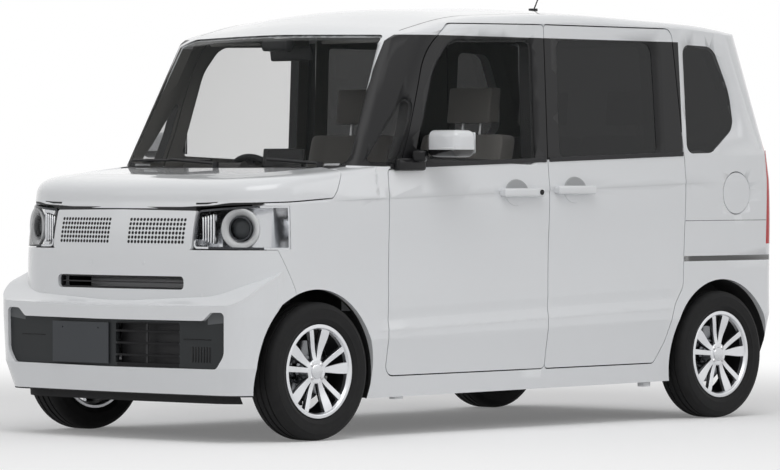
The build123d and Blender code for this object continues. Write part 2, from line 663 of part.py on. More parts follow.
carrier = block(556, 590, front_axle_y - 42, front_axle_y + 42, 200, 350)
carrier = carrier + rod(tuple(on_kingpin(180)), tuple(on_kingpin(230)), 17)
strut = rod(tuple(on_kingpin(330)), tuple(kingpin_high), 22)
spring = rod(tuple(on_kingpin(585)), tuple(on_kingpin(738)), 42)
spindle = x_cylinder(spindle_radius, 585, 690, front_axle_y, axle_z)
steering_arm = block(548, 562, front_axle_y + 20, front_axle_y + 150, 235, 255)
knuckle = main_solid(carrier + strut + spring + spindle + steering_arm)
keep("knuckle_left", knuckle)
keep("knuckle_right", mirror_x(knuckle))

arm_z = 152.0
subframe = block(-330, 330, -1330, -1090, 195, 240)
arm_end = (590, front_axle_y, arm_z + 6)
arm = rod((300, -1280, 210), arm_end, 15) + rod((300, -1120, 210), arm_end, 15)
arm = arm + Pos(590, front_axle_y, arm_z) * Cylinder(22, 26)
mounts = Compound(children=[
    block(apron_x - 50, apron_x - 20, y0, y1, 235, 300) + block(280, apron_x - 20, y0, y1, 215, 240)
    for y0, y1 in ((-1320, -1290), (-1120, -1095))])
keep("front_subframe", main_solid(subframe + both_sides(arm + mounts)))

beam = rod((-520, rear_axle_y - 60, 262), (520, rear_axle_y - 60, 262), 30)
trailing = block(490, 522, 960, rear_axle_y + 40, 236, 296)
trailing = trailing + block(515, 592, rear_axle_y - 40, rear_axle_y + 40, 238, 294)
trailing = trailing + block(550, 592, rear_axle_y - 40, rear_axle_y + 40, 290, 318)
trailing = trailing + x_cylinder(spindle_radius, 585, 690, rear_axle_y, axle_z)
trailing = trailing + block(490, 522, 960, 1010, 290, 300)
keep("rear_axle", main_solid(beam + both_sides(trailing)))

silencer_rows = [(1480, 190, 40), (1600, 190, 40), (1600, 285, 40), (1480, 285, 40)]
silencer = side_prism(silencer_rows, -420, -60) + block(-260, -220, 1500, 1580, 280, 300)
pipe = rod((-150, 1540, 205), (-150, -880, 205), 21) + block(-165, -135, 415, 445, 210, 255)
keep("exhaust", main_solid(silencer + pipe))

# ---------------------------------------------------------------- wheels
rim_half = 64.0
face_x = 46.0              # hub face outboard of the wheel's middle
spoke_pair_angles = [75, 3, -69, -141, 147]
spoke_step = 28.0
rim_inner_radius = 168.0
rim_profile = [
    (178, -rim_half), (rim_radius, -rim_half), (rim_radius, -rim_half + 6),
    (rim_seat_radius, -rim_half + 9), (rim_seat_radius, rim_half - 9), (rim_radius, rim_half - 6),
    (rim_radius, rim_half), (176, rim_half + 1), (rim_inner_radius, rim_half - 8),
    (rim_inner_radius, -rim_half + 12),
]
tyre_half = tyre_width / 2
tyre_profile = [
    (rim_radius, -rim_half + 6, 0), (208, -tyre_half + 4, 30), (240, -tyre_half, 40),
    (tyre_radius - 8, -tyre_half + 12, 22), (tyre_radius, -tyre_half + 34, 30),
    (tyre_radius, tyre_half - 34, 30), (tyre_radius - 8, tyre_half - 12, 22),
    (240, tyre_half, 40), (208, tyre_half - 4, 30), (rim_radius, rim_half - 6, 0),
    (rim_seat_radius, rim_half - 9, 0), (rim_seat_radius, -rim_half + 9, 0),
]


def turned(rows):
    """Solid of revolution about the X axis from rows of (radius, x)."""
    points = [(r[1], r[0]) for r in rows]
    radii = [r[2] if len(r) > 2 else 0 for r in rows]
    face = make_face(FilletPolyline(*points, radius=radii, close=True))
    return revolve(face, axis=Axis.X)


def spoke_blank(angle, hub_width, rim_width_):
    rows = [(30, -hub_width / 2), (172, -rim_width_ / 2), (172, rim_width_ / 2), (30, hub_width / 2)]
    face = Plane.YZ * make_face(Polyline(*rows, close=True))
    return Rot(angle, 0, 0) * extrude(face, amount=90, dir=(1, 0, 0))


dish = turned([(20, face_x + 2), (44, face_x + 4), (60, face_x + 1), (172, rim_half - 6),
               (172, rim_half - 24), (60, face_x - 20), (20, face_x - 20)])
blanks = [spoke_blank(angle, 26, 30) for angle in spoke_pair_angles]
blanks = blanks + [spoke_blank(angle + spoke_step, 20, 24) for angle in spoke_pair_angles]
alloy = turned(rim_profile)
for blank in blanks:
    alloy = alloy + (dish & blank)
alloy = alloy + x_cylinder(48, face_x - 20, face_x + 4, 0, 0)
alloy = alloy + x_cylinder(38, -34, face_x - 10, 0, 0) + x_cylinder(118, -34, -24, 0, 0)
alloy = main_solid(alloy - x_cylinder(hub_bore_radius, -60, 39, 0, 0))
tyre = turned(tyre_profile)
for end, y in (("front", front_axle_y), ("rear", rear_axle_y)):
    for side, sign in (("left", 1), ("right", -1)):
        for kind, shape in (("wheel", alloy), ("tyre", tyre)):
            placed = Pos(wheel_x, y, axle_z) * shape
            keep(f"{kind}_{end}_{side}", placed if sign > 0 else mirror_x(placed))

# ---------------------------------------------------------------- fittings
mirror_head = Pos(842, -566, 1192) * fillet(Box(176, 124, 112).edges(), 34)
mirror_foot = block(712, 762, -785, -705, 1040, 1074) + block(730, 762, -785, -690, 1070, 1140)
mirror_arm = rod((748, -735, 1115), (792, -600, 1162), 20)
door_front = side_shell & block(560, 800, door_front_y, -600, 1000, 1200)
mirror_left = main_solid(mirror_head + mirror_foot + mirror_arm - door_front)
keep("door_mirror_left", mirror_left)
keep("door_mirror_right", mirror_x(mirror_left))

# wipers: pivot x, blade from x, blade to x
wiper_rows = [(560, -40, 520), (-40, -600, -80)]
blade_z = 1126.0


def screen_y(x, z):
    """Windscreen's outer surface, as two flat wings either side of the middle."""
    low, high = upper_rings
    climb_ratio = (z - 1069) / (high[0] - 1069)
    centre = low[2] + (high[2] - low[2]) * climb_ratio
    return centre + abs(x) * (low[4] - low[2]) / low[3]


cowl_top = shell & block(-cowl_half_width, cowl_half_width, -1100, -960, 1000, 1200)
wipers = []
for pivot_x, from_x, to_x in wiper_rows:
    pivot = Pos(pivot_x, -1046, 1096) * Cylinder(13, 44)
    start = (from_x, screen_y(from_x, blade_z) - 14, blade_z)
    end = (to_x, screen_y(to_x, blade_z) - 14, blade_z)
    middle = ((from_x + to_x) / 2, screen_y((from_x + to_x) / 2, blade_z) - 22, blade_z + 4)
    arm_rod = rod((pivot_x, -1046, 1112), middle, 6)
    wiper = main_solid((pivot - cowl_top) + arm_rod + rod(start, end, 5))
    wipers.append(wiper)
keep("wipers", Compound(children=wipers))
aerial_y = 880.0
aerial = Pos(0, aerial_y, 1783) * Cylinder(20, 30) + rod((0, aerial_y, 1785), (0, aerial_y + 95, 1950), 3)
keep("roof_aerial", main_solid(aerial - (outer & block(-60, 60, 800, 960, 1700, 1900))))

os.makedirs("parts", exist_ok=True)
for name, shape in pieces.items():
    export_step(shape, f"parts/{name}.step")
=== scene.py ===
import bmesh
import bpy
import math
from mathutils import Matrix, Vector
from mathutils.bvhtree import BVHTree


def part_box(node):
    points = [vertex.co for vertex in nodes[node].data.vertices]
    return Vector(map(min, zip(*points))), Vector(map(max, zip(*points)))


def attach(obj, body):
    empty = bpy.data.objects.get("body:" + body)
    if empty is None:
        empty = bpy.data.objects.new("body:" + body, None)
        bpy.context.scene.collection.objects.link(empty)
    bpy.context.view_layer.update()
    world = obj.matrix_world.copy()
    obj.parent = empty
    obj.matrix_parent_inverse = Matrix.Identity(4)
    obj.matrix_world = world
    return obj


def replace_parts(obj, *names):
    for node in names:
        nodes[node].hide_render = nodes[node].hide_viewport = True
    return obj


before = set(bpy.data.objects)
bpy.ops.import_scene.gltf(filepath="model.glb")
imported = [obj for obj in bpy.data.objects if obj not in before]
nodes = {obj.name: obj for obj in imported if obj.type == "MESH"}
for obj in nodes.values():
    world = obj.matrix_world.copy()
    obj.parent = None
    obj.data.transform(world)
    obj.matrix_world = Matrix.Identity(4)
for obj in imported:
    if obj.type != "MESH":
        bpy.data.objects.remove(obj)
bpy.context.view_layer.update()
scene = bpy.context.scene
bodySides = (("left", 1), ("right", -1))
axleLook = {"z": 0.2785, "frontY": -1.2075, "rearY": 1.3125}
sameSpot = 0.00001
rayStart = {"side": 1.2, "front": -2.0, "rear": 2.4}   # outside the car, where lines onto its skin begin
mixSockets = {"in": (0, 6, 7), "out": 2}   # factor and two colours, and the mixed colour
print("frame loaded:", len(nodes), "nodes")


class Wire:
    # a shader value that can be used in plain sums
    def __init__(self, finish, socket):
        self.finish = finish
        self.socket = socket

    def calc(self, operation, *others):
        return self.finish.node("ShaderNodeMath", {"operation": operation}, [self, *others])

    def __rsub__(self, other):
        return (self * -1) + other


wireSums = {"__add__": "ADD", "__radd__": "ADD", "__sub__": "SUBTRACT", "__mul__": "MULTIPLY",
            "__gt__": "GREATER_THAN", "__lt__": "LESS_THAN", "__abs__": "ABSOLUTE"}
for name, operation in wireSums.items():
    setattr(Wire, name, lambda wire, *others, operation=operation: wire.calc(operation, *others))


class Finish:
    # one material and the nodes that feed its shader
    def __init__(self, name, **fixed):
        self.material = bpy.data.materials.new(name)
        self.material.use_nodes = True
        self.tree = self.material.node_tree
        self.shader = self.tree.nodes["Principled BSDF"]
        for socket, value in fixed.items():
            self.shader.inputs[socket.replace("_", " ")].default_value = value
        self.places = None
        self.leans = None

    def node(self, kind, settings, values, wanted=None):
        made = self.tree.nodes.new(kind)
        for key, value in settings.items():
            setattr(made, key, value)
        pairs = values.items() if isinstance(values, dict) else enumerate(values)
        for key, value in pairs:
            if isinstance(value, Wire):
                self.tree.links.new(value.socket, made.inputs[key])
            else:
                made.inputs[key].default_value = value
        shown = [s for s in made.outputs if s.enabled]
        return Wire(self, made.outputs[wanted] if wanted else shown[0])

    def split(self, kind, output):
        # a vector and its three values
        source = self.tree.nodes.new(kind).outputs[output]
        parts = self.tree.nodes.new("ShaderNodeSeparateXYZ")
        self.tree.links.new(source, parts.inputs[0])
        return [Wire(self, source)] + [Wire(self, part) for part in parts.outputs]

    def at(self):
        # object coordinates
        self.places = self.places or self.split("ShaderNodeTexCoord", "Object")
        return self.places

    def normal(self):
        # the surface's outward direction
        self.leans = self.leans or self.split("ShaderNodeNewGeometry", "True Normal")
        return self.leans

    def noise(self, scale, detail):
        values = {"Vector": self.at()[0], "Scale": scale, "Detail": detail}
        return self.node("ShaderNodeTexNoise", {}, values)

    def mix(self, factor, first, second):
        first, second = (c if isinstance(c, Wire) else (*c, 1) for c in (first, second))
        values = dict(zip(mixSockets["in"], (factor, first, second)))
        return self.node("ShaderNodeMix", {"data_type": "RGBA"}, values, mixSockets["out"])

    def feed(self, socket, value):
        self.tree.links.new(value.socket, self.shader.inputs[socket])
        return self

    def bump(self, height, strength, distance):
        values = {"Height": height, "Strength": strength, "Distance": distance}
        return self.feed("Normal", self.node("ShaderNodeBump", {}, values))

    def done(self, colour, rough, *relief):
        # relief is a height, its strength and its depth
        self.feed("Base Color", colour)
        self.feed("Roughness", rough)
        return self.bump(*relief).material


def both(first, second):
    return first * second


def either(first, second):
    return first.calc("MAXIMUM", second)


paintLook = {
    "white": (0.8, 0.815, 0.835), "black": (0.01, 0.01, 0.011), "liner": (0.022, 0.022, 0.023),
    # cup is the grey painted shade on the upper part of the handle cup
    "lining": (0.16, 0.155, 0.145), "cup": (0.42, 0.43, 0.44),
    "coat": {"Coat_Weight": 1.0, "Coat_Roughness": 0.04, "IOR": 1.5, "Specular_IOR_Level": 0.3},
    "roughness": 0.3, "flowScale": 3.0, "flowShade": 0.965, "flowShare": 0.35, "flowRough": 0.05,
    "bareFrom": 0.3, "peelScale": 420.0, "peel": 0.04, "peelDepth": 0.0004,
}
paintAreas = {   # each area is one box of limits or more; reach is the distance from the middle plane
    "sash": [{"level": (1.1236, None), "z": (None, 1.64), "y": (None, 1.046), "reach": (0.6, None)}],
    "cabin": [{"outward": (None, -0.01), "y": (-0.96, 1.62), "z": (0.26, None)}],
    "arch": [{"arch": (None, 0.362 ** 2), "reach": (None, 0.7), "outward": (None, 0.33)}],
    "under": [{"up": (None, -0.6), "z": (None, 0.3)}],
    "airDam": [{"z": (None, 0.1915), "y": (None, -1.35)}],
    "rail": [{"z": (0.6885, 0.7115), "y": (1.052, 1.648)}, {"z": (0.8637, 0.8663), "y": (1.054, 1.61)}],
    "roofSeam": [{"reach": (0.5795, 0.5865), "y": (-0.6, None), "z": (1.6, None), "up": (0.5, None)}],
    "ceiling": [{"up": (None, -0.3), "z": (1.55, None), "y": (-0.66, None)}],
    "gateInside": [{"rearward": (None, -0.2)}],
    # upper part of the handle cup, which takes painted shade
    "cupShadeTop": [{"level": (1.004, None)}],
    "mirrorFoot": [{"z": (None, 1.168)}, {"reach": (None, 0.775)}],
    "lampBright": [{"y": (-1.485, None)}, {"reach": (None, 0.49), "lampSlope": (None, 0.43)}],
    # the rim's inside behind the spokes, painted near black as painted shade
    "paintedShadeBarrel": [{"hub": (0.05 ** 2, 0.1686 ** 2), "reach": (None, 0.6905)}],
    "shoulder": [{"reach": (0.535, None), "grilleSlope": (0.418, None)}],
    # grille opening, painted near black as painted shade of the hollow behind the slats
    "paintedShadeOpening": [{"x": (0.043, 0.381), "z": (0.298, 0.476)}],
}
climb = 0.03   # rise of the waist line towards the rear
archCentres = ((-1.2275, 0.2705), (1.3125, 0.2705))
hubCentres = ((axleLook["frontY"], axleLook["z"]), (axleLook["rearY"], axleLook["z"]))


def squareFrom(centres, y, z):
    # square of the distance from the nearer of two points in the side view
    front, rear = [(y - cy) * (y - cy) + (z - cz) * (z - cz) for cy, cz in centres]
    return front.calc("MINIMUM", rear)


def areaMask(finish, name):
    # 1 inside the area, 0 outside it
    here, x, y, z = finish.at()
    values = {
        "x": lambda: x, "y": lambda: y, "z": lambda: z, "reach": lambda: abs(x), "level": lambda: z - y * climb,
        "arch": lambda: squareFrom(archCentres, y, z), "hub": lambda: squareFrom(hubCentres, y, z),
        "lampSlope": lambda: z - abs(x) * 0.9, "grilleSlope": lambda: z - abs(x) * 0.1,
        "outward": lambda: finish.normal()[1] * x, "rearward": lambda: finish.normal()[2],
        "up": lambda: finish.normal()[3],
    }
    area = None
    for box in paintAreas[name]:
        mask = None
        for key, (low, high) in box.items():
            value = values[key]()
            tests = [value > low] if low is not None else []
            tests += [value < high] if high is not None else []
            for test in tests:
                mask = test if mask is None else both(mask, test)
        area = mask if area is None else either(area, mask)
    return area


def paintFinish(name, *areas):
    # glossy paint with a faint flow in it; each area has a name, a colour and a roughness
    finish = Finish(name, **paintLook["coat"])
    flow = finish.noise(paintLook["flowScale"], 3.0)
    white = paintLook["white"]
    shaded = tuple(c * paintLook["flowShade"] for c in white)
    colour = finish.mix(flow * paintLook["flowShare"], white, shaded)
    rough = paintLook["roughness"] + flow * paintLook["flowRough"]
    coat = None
    for area, shade, dull in areas:
        mask = areaMask(finish, area)
        colour = finish.mix(mask, colour, paintLook[shade])
        rough = rough * (1 - mask) + mask * dull
        if dull > paintLook["bareFrom"]:
            bare = 1 - mask
            coat = bare if coat is None else coat * bare
    if coat:
        finish.feed("Coat Weight", coat)
    peel = finish.noise(paintLook["peelScale"], 1.0)
    return finish.done(colour, rough, peel, paintLook["peel"], paintLook["peelDepth"])


def lampFinish():
    # lamp housing: smoked round the projector, bright towards the wing and at the grille end
    finish = Finish("lampHousing", Metallic=1.0)
    grain = finish.noise(120.0, 2.0)
    colour = finish.mix(areaMask(finish, "lampBright"), (0.055, 0.057, 0.062), (0.62, 0.63, 0.65))
    return finish.done(colour, 0.16 + grain * 0.1, grain, 0.05, 0.0003)


def wheelFinish():
    # bright alloy; the barrel behind the spokes is painted near black as painted shade
    finish = Finish("wheelAlloy", Metallic=1.0)
    paintedShadeBarrel = areaMask(finish, "paintedShadeBarrel")
    grain = finish.noise(260.0, 3.0)
    colour = finish.mix(paintedShadeBarrel, (0.7, 0.71, 0.73), (0.03, 0.03, 0.032))
    return finish.done(colour, 0.26 + grain * 0.1 + paintedShadeBarrel * 0.3, grain, 0.06, 0.0003)


def grilleFinish():
    # dark grained insert with paler shoulders at its raised corners; the slats in its opening are painted near
    # black as painted shade of the hollow
    finish = Finish("lowerGrille", Specular_IOR_Level=0.18)
    fine = finish.noise(900.0, 3.0)
    colour = finish.mix(fine * 0.4, (0.034, 0.037, 0.039), (0.026, 0.028, 0.03))
    colour = finish.mix(areaMask(finish, "shoulder"), colour, (0.12, 0.126, 0.132))
    colour = finish.mix(areaMask(finish, "paintedShadeOpening"), colour, (0.006, 0.006, 0.007))
    return finish.done(colour, 0.42 + fine * 0.12, fine, 0.3, 0.0005)


def liningFinish():
    finish = Finish("cabinLining", Roughness=0.85)
    weave = finish.noise(900.0, 2.0)
    patch = finish.noise(6.0, 2.0)
    finish.feed("Base Color", finish.mix(patch * 0.5, (0.34, 0.33, 0.31), (0.29, 0.28, 0.265)))
    finish.bump(weave, 0.25, 0.0006)
    return finish.material


def plasticFinish(name, colour, roughness, grain, depth):
    finish = Finish(name, Specular_IOR_Level=0.22)
    fine = finish.noise(grain, 3.0)
    broad = finish.noise(5.0, 2.0)
    colour = finish.mix(broad * 0.6, colour, tuple(c * 0.82 for c in colour))
    rough = roughness + (fine - 0.5) * 0.16
    return finish.done(colour, rough, fine, 0.35, depth)


def glassFinish(name, tint, body, frontBody=None):
    # see-through pane: body is what shows of it head on, and it turns into a mirror at a slant
    finish = Finish(name, IOR=1.5, Base_Color=(*tint, 1), Specular_IOR_Level=0.36)
    slant = finish.node("ShaderNodeLayerWeight", {}, {"Blend": 0.5}, "Facing").calc("POWER", 4.0)
    smear = finish.noise(14.0, 3.0)
    if frontBody is not None:
        body = (finish.at()[2] > 0.0) * (body - frontBody) + frontBody
    finish.feed("Alpha", (body + slant * (1 - body)).calc("MINIMUM", 1.0))
    finish.feed("Roughness", 0.01 + smear * 0.02)
    return finish.material


def metalFinish(name, colour, roughness, **fixed):
    finish = Finish(name, Metallic=1.0, **fixed)
    grain = finish.noise(260.0, 3.0)
    patch = finish.noise(9.0, 2.0)
    colour = finish.mix(patch * 0.5, colour, tuple(c * 0.88 for c in colour))
    rough = roughness + (grain - 0.5) * roughness * 0.5
    return finish.done(colour, rough, grain, 0.06, 0.0003)


def clothFinish(name, colour, second):
    finish = Finish(name, Sheen_Weight=0.35, Sheen_Roughness=0.4)
    here, x, y, z = finish.at()
    warp = (x * 2600).calc("SINE")
    weft = (y * 1800 + z * 1800).calc("SINE")
    weave = warp * weft * 0.5 + 0.5
    patch = finish.noise(40.0, 3.0)
    colour = finish.mix(weave * 0.5 + patch * 0.4, colour, second)
    rough = 0.78 + patch * 0.15
    return finish.done(colour, rough, weave, 0.4, 0.0007)


def rubberFinish():
    finish = Finish("tyreRubber", Specular_IOR_Level=0.16)
    dust = finish.noise(22.0, 4.0)
    fine = finish.noise(700.0, 2.0)
    colour = finish.mix(dust, (0.012, 0.012, 0.013), (0.026, 0.026, 0.026))
    rough = 0.62 + dust * 0.2
    return finish.done(colour, rough, fine, 0.25, 0.0005)


look = {
    "paint": paintFinish("whitePaint", ("under", "liner", 0.8)),
    "sidePaint": paintFinish("sidePaint", ("rail", "black", 0.25), ("roofSeam", "liner", 0.6),
                             ("sash", "black", 0.42), ("cabin", "lining", 0.8), ("arch", "liner", 0.85)),
    "wingPaint": paintFinish("wingPaint", ("arch", "liner", 0.85), ("airDam", "liner", 0.8)),
    "roofPaint": paintFinish("roofPaint", ("roofSeam", "liner", 0.6), ("ceiling", "lining", 0.85)),
    "mirrorPaint": paintFinish("mirrorPaint", ("mirrorFoot", "black", 0.22)),
    "gatePaint": paintFinish("gatePaint", ("gateInside", "lining", 0.8)),
    "lining": liningFinish(),
    "glossBlack": plasticFinish("glossBlackTrim", (0.012, 0.012, 0.013), 0.14, 300.0, 0.0001),
    "trim": plasticFinish("grainedBlackTrim", (0.028, 0.028, 0.03), 0.48, 900.0, 0.0008),
    "dash": plasticFinish("dashboardSkin", (0.1, 0.098, 0.095), 0.62, 700.0, 0.0008),
    "clearGlass": glassFinish("tintedGlass", (0.01, 0.014, 0.014), 0.11),
    "privacyGlass": glassFinish("privacyGlass", (0.004, 0.005, 0.006), 0.78),
    "quarterGlass": glassFinish("quarterGlass", (0.004, 0.005, 0.006), 0.82, frontBody=0.16),
    "lensGlass": glassFinish("clearLampCover", (0.1, 0.105, 0.11), 0.03),
    "redLens": glassFinish("redLampCover", (0.58, 0.008, 0.012), 0.9),
    "chrome": metalFinish("lampChrome", (0.8, 0.81, 0.83), 0.09),
    "lampHousing": lampFinish(),
    "grilleInsert": grilleFinish(),
    "wheelAlloy": wheelFinish(),
    "plateGrey": plasticFinish("plateGrey", (0.06, 0.065, 0.072), 0.38, 500.0, 0.0002),
    # brake disc steel darkened to near black: painted shade for the disc behind the spokes
    "brakeDiscShadeSteel": metalFinish("brakeDiscPaintedShade", (0.2, 0.205, 0.215), 0.16),
    "alloy": metalFinish("silverAlloy", (0.62, 0.63, 0.65), 0.24, Coat_Weight=0.7, Coat_Roughness=0.05),
    "steel": metalFinish("blackSteel", (0.05, 0.05, 0.052), 0.5),
    "brightSteel": metalFinish("turnedSteel", (0.55, 0.55, 0.56), 0.3),
    "cast": metalFinish("castAluminium", (0.42, 0.42, 0.43), 0.55),
    "cloth": clothFinish("seatCloth", (0.3, 0.285, 0.265), (0.22, 0.21, 0.2)),
    "rubber": rubberFinish(),
    "underseal": plasticFinish("underseal", (0.035, 0.035, 0.036), 0.85, 240.0, 0.002),
    # handle cup paint with painted shade on its upper part
    "cupPaintedShade": paintFinish("cupPaintedShade", ("cupShadeTop", "cup", 0.4)),
    "mirrorGlass": metalFinish("mirrorGlass", (0.72, 0.74, 0.75), 0.02),
    "plateWhite": plasticFinish("plainPlate", (0.72, 0.73, 0.73), 0.4, 300.0, 0.0002),
    "lightGuide": plasticFinish("whiteLightGuide", (0.82, 0.83, 0.84), 0.25, 200.0, 0.0001),
    "eyeGlass": plasticFinish("projectorGlass", (0.05, 0.055, 0.06), 0.06, 100.0, 0.00002),
}
print("finishes:", len(look))

lookNodes = {   # without the side at the end of the name
    "sidePaint": "body_side sliding_door front_door", "wingPaint": "front_wing front_bumper rear_bumper",
    "paint": "grille_panel bonnet fuel_lid", "roofPaint": "roof_panel", "gatePaint": "tailgate",
    "mirrorPaint": "door_mirror", "grilleInsert": "lower_grille", "plateGrey": "front_plate",
    "lampHousing": "headlamp_housings", "lensGlass": "headlamp_lenses", "redLens": "tail_lamps",
    "clearGlass": "windscreen front_door_glass", "privacyGlass": "sliding_door_glass tailgate_glass",
    "quarterGlass": "quarter_windows", "dash": "dashboard", "cloth": "front_seats rear_seats",
    "trim": "upper_intake cowl_panel wipers roof_aerial steering_wheel", "cast": "engine_block",
    "steel": "front_subframe rear_axle knuckle", "brightSteel": "exhaust", "alloy": "wheel_front wheel_rear",
    "rubber": "tyre_front tyre_rear",
}
nodeLooks = {part: lookName for lookName, parts in lookNodes.items() for part in parts.split()}
for nodeName, node in nodes.items():
    slots = node.data.materials
    slots.clear()
    part = nodeName.removesuffix("_left").removesuffix("_right")
    slots.append(look[nodeLooks.get(part, "underseal")])
print("CAD nodes painted:", len(nodes))


stageLook = {"floorSize": 60.0, "floorColour": (0.86, 0.86, 0.865), "worldLight": 0.5, "shown": 1.0,
             "nearRadius": 2.6, "farRadius": 7.0, "glow": 0.16}


def shownRays(tree):
    # 1 for what the camera, mirrors and glass see, 0 for light that falls on things
    path = tree.nodes.new("ShaderNodeLightPath")
    total = path.outputs["Is Camera Ray"]
    for name in ("Is Glossy Ray", "Is Transmission Ray"):
        more = tree.nodes.new("ShaderNodeMath")
        more.operation = "MAXIMUM"
        tree.links.new(total, more.inputs[0])
        tree.links.new(path.outputs[name], more.inputs[1])
        total = more.outputs[0]
    return total


def makeStage():
    floorMesh = bmesh.new()
    bmesh.ops.create_grid(floorMesh, x_segments=1, y_segments=1, size=stageLook["floorSize"])
    data = bpy.data.meshes.new("studioFloor")
    floorMesh.to_mesh(data)
    floorMesh.free()
    floor = bpy.data.objects.new("studioFloor", data)
    scene.collection.objects.link(floor)
    finish = Finish("studioFloorPaint", Roughness=0.95, Specular_IOR_Level=0.0, Emission_Strength=1.0)
    here, x, y, z = finish.at()
    seen = Wire(finish, shownRays(finish.tree))
    away = (x * x + y * y).calc("SQRT")
    span = {"Value": away, "From Min": stageLook["nearRadius"], "From Max": stageLook["farRadius"]}
    far = finish.node("ShaderNodeMapRange", {"interpolation_type": "SMOOTHSTEP"}, span)
    finish.feed("Base Color", finish.mix(far, stageLook["floorColour"], (0, 0, 0)))
    glow = finish.mix(far, (stageLook["glow"],) * 3, (1, 1, 1))
    finish.feed("Emission Color", finish.mix(seen, (0, 0, 0), glow))
    data.materials.append(finish.material)
    world = bpy.data.worlds.new("studioWorld")
    world.use_nodes = True
    scene.world = world
    tree = world.node_tree
    mixer = tree.nodes.new("ShaderNodeMixShader")
    tree.links.new(shownRays(tree), mixer.inputs[0])
    light = tree.nodes["Background"]
    shown = tree.nodes.new("ShaderNodeBackground")
    for place, (node, strength) in enumerate(((light, "worldLight"), (shown, "shown")), 1):
        node.inputs["Color"].default_value = (1, 1, 1, 1)
        node.inputs["Strength"].default_value = stageLook[strength]
        tree.links.new(node.outputs[0], mixer.inputs[place])
    tree.links.new(mixer.outputs[0], tree.nodes["World Output"].inputs["Surface"])


def makeLamp(name, place, target, size, power):
    data = bpy.data.lights.new(name, "AREA")
    data.shape = "RECTANGLE"
    data.size, data.size_y = size
    data.energy = power
    lamp = bpy.data.objects.new(name, data)
    scene.collection.objects.link(lamp)
    lamp.location = place
    lamp.rotation_euler = (Vector(target) - Vector(place)).to_track_quat("-Z", "Y").to_euler()


cameraLook = {"azimuth": 43.42, "drop": 0.76, "distance": 20.53, "target": (0.0, -0.0395, 0.807),
              "lens": 221.4, "sensor": 36.0, "clipEnd": 200.0}


def makeCamera():
    turn, drop = math.radians(cameraLook["azimuth"]), math.radians(cameraLook["drop"])
    ahead = Vector((-math.sin(turn) * math.cos(drop), math.cos(turn) * math.cos(drop), -math.sin(drop)))
    data = bpy.data.cameras.new("studioCamera")
    data.lens = cameraLook["lens"]
    data.sensor_width = cameraLook["sensor"]
    data.clip_end = cameraLook["clipEnd"]
    camera = bpy.data.objects.new("studioCamera", data)
    scene.collection.objects.link(camera)
    camera.location = Vector(cameraLook["target"]) - ahead * cameraLook["distance"]
    camera.rotation_euler = ahead.to_track_quat("-Z", "Y").to_euler()
    scene.camera = camera


lampLooks = {   # place, target, size and power
    "keyLamp": ((3.5, -3.5, 6.5), (0, 0, 0.9), (5.0, 4.0), 170),
    "sideLamp": ((6.5, 3.0, 3.0), (0, 0.4, 0.9), (4.0, 2.5), 34),
    "noseLamp": ((-3.5, -6.5, 3.5), (0, -1.2, 0.8), (4.0, 2.5), 14),
}
makeStage()
for name, lamp in lampLooks.items():
    makeLamp(name, *lamp)
makeCamera()
scene.view_settings.view_transform = "Standard"
print("stage, lamps and camera ready")


def newPiece(name, mesh, lookName, bodyName="car_body", slotName=None, bevel=0.0, flat=30.0):
    # makes the object from a bmesh, gives it its look and puts it on its body; slotName is not used
    bmesh.ops.remove_doubles(mesh, verts=mesh.verts, dist=sameSpot)
    bmesh.ops.recalc_face_normals(mesh, faces=mesh.faces)
    data = bpy.data.meshes.new(name)
    mesh.to_mesh(data)
    mesh.free()
    data.shade_smooth()
    data.set_sharp_from_angle(angle=math.radians(flat))
    piece = bpy.data.objects.new(name, data)
    scene.collection.objects.link(piece)
    data.materials.append(look[lookName])
    if bevel:
        soft = piece.modifiers.new("softEdges", "BEVEL")
        soft.width = bevel
        soft.segments = 2
        soft.limit_method = "ANGLE"
    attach(piece, bodyName)
    return piece


def addBox(mesh, centre, size):
    bmesh.ops.create_cube(mesh, size=1.0, matrix=Matrix.Translation(centre) @ Matrix.Diagonal((*size, 1)))


def merge(mesh, part):
    data = bpy.data.meshes.new("part")
    part.to_mesh(data)
    part.free()
    mesh.from_mesh(data)
    bpy.data.meshes.remove(data)


def addRoundedBox(mesh, centre, size, radius, segments, turn=None):
    part = bmesh.new()
    addBox(part, (0, 0, 0), size)
    bmesh.ops.bevel(part, geom=part.edges[:], offset=radius, affect="EDGES", segments=segments, profile=0.5,
                    material=-1)
    place = Matrix.Translation(centre) @ (turn or Matrix.Identity(4))
    bmesh.ops.transform(part, matrix=place, verts=part.verts)
    merge(mesh, part)


def addPad(mesh, sign, centre, size, radius, segments, angle=0.0, axis="X"):
    # rounded box from a row of numbers, mirrored to the car's right where sign is -1
    turn = Matrix.Rotation(angle * (sign if axis == "Z" else 1), 4, axis)
    addRoundedBox(mesh, mirrored(centre, sign), size, radius, segments, turn)


def mirrored(place, sign):
    return Vector((sign * place[0], place[1], place[2]))


def facing(direction, centre=(0, 0, 0)):
    # matrix that turns +Z to a direction and moves to a centre
    turn = Vector(direction).to_track_quat("Z", "Y").to_matrix().to_4x4()
    return Matrix.Translation(centre) @ turn


def addRod(mesh, start, end, radius, endRadius=None):
    start, end = Vector(start), Vector(end)
    along = end - start
    bmesh.ops.create_cone(mesh, cap_ends=True, segments=16, radius1=radius, radius2=endRadius or radius,
                          depth=along.length, matrix=facing(along, (start + end) / 2))


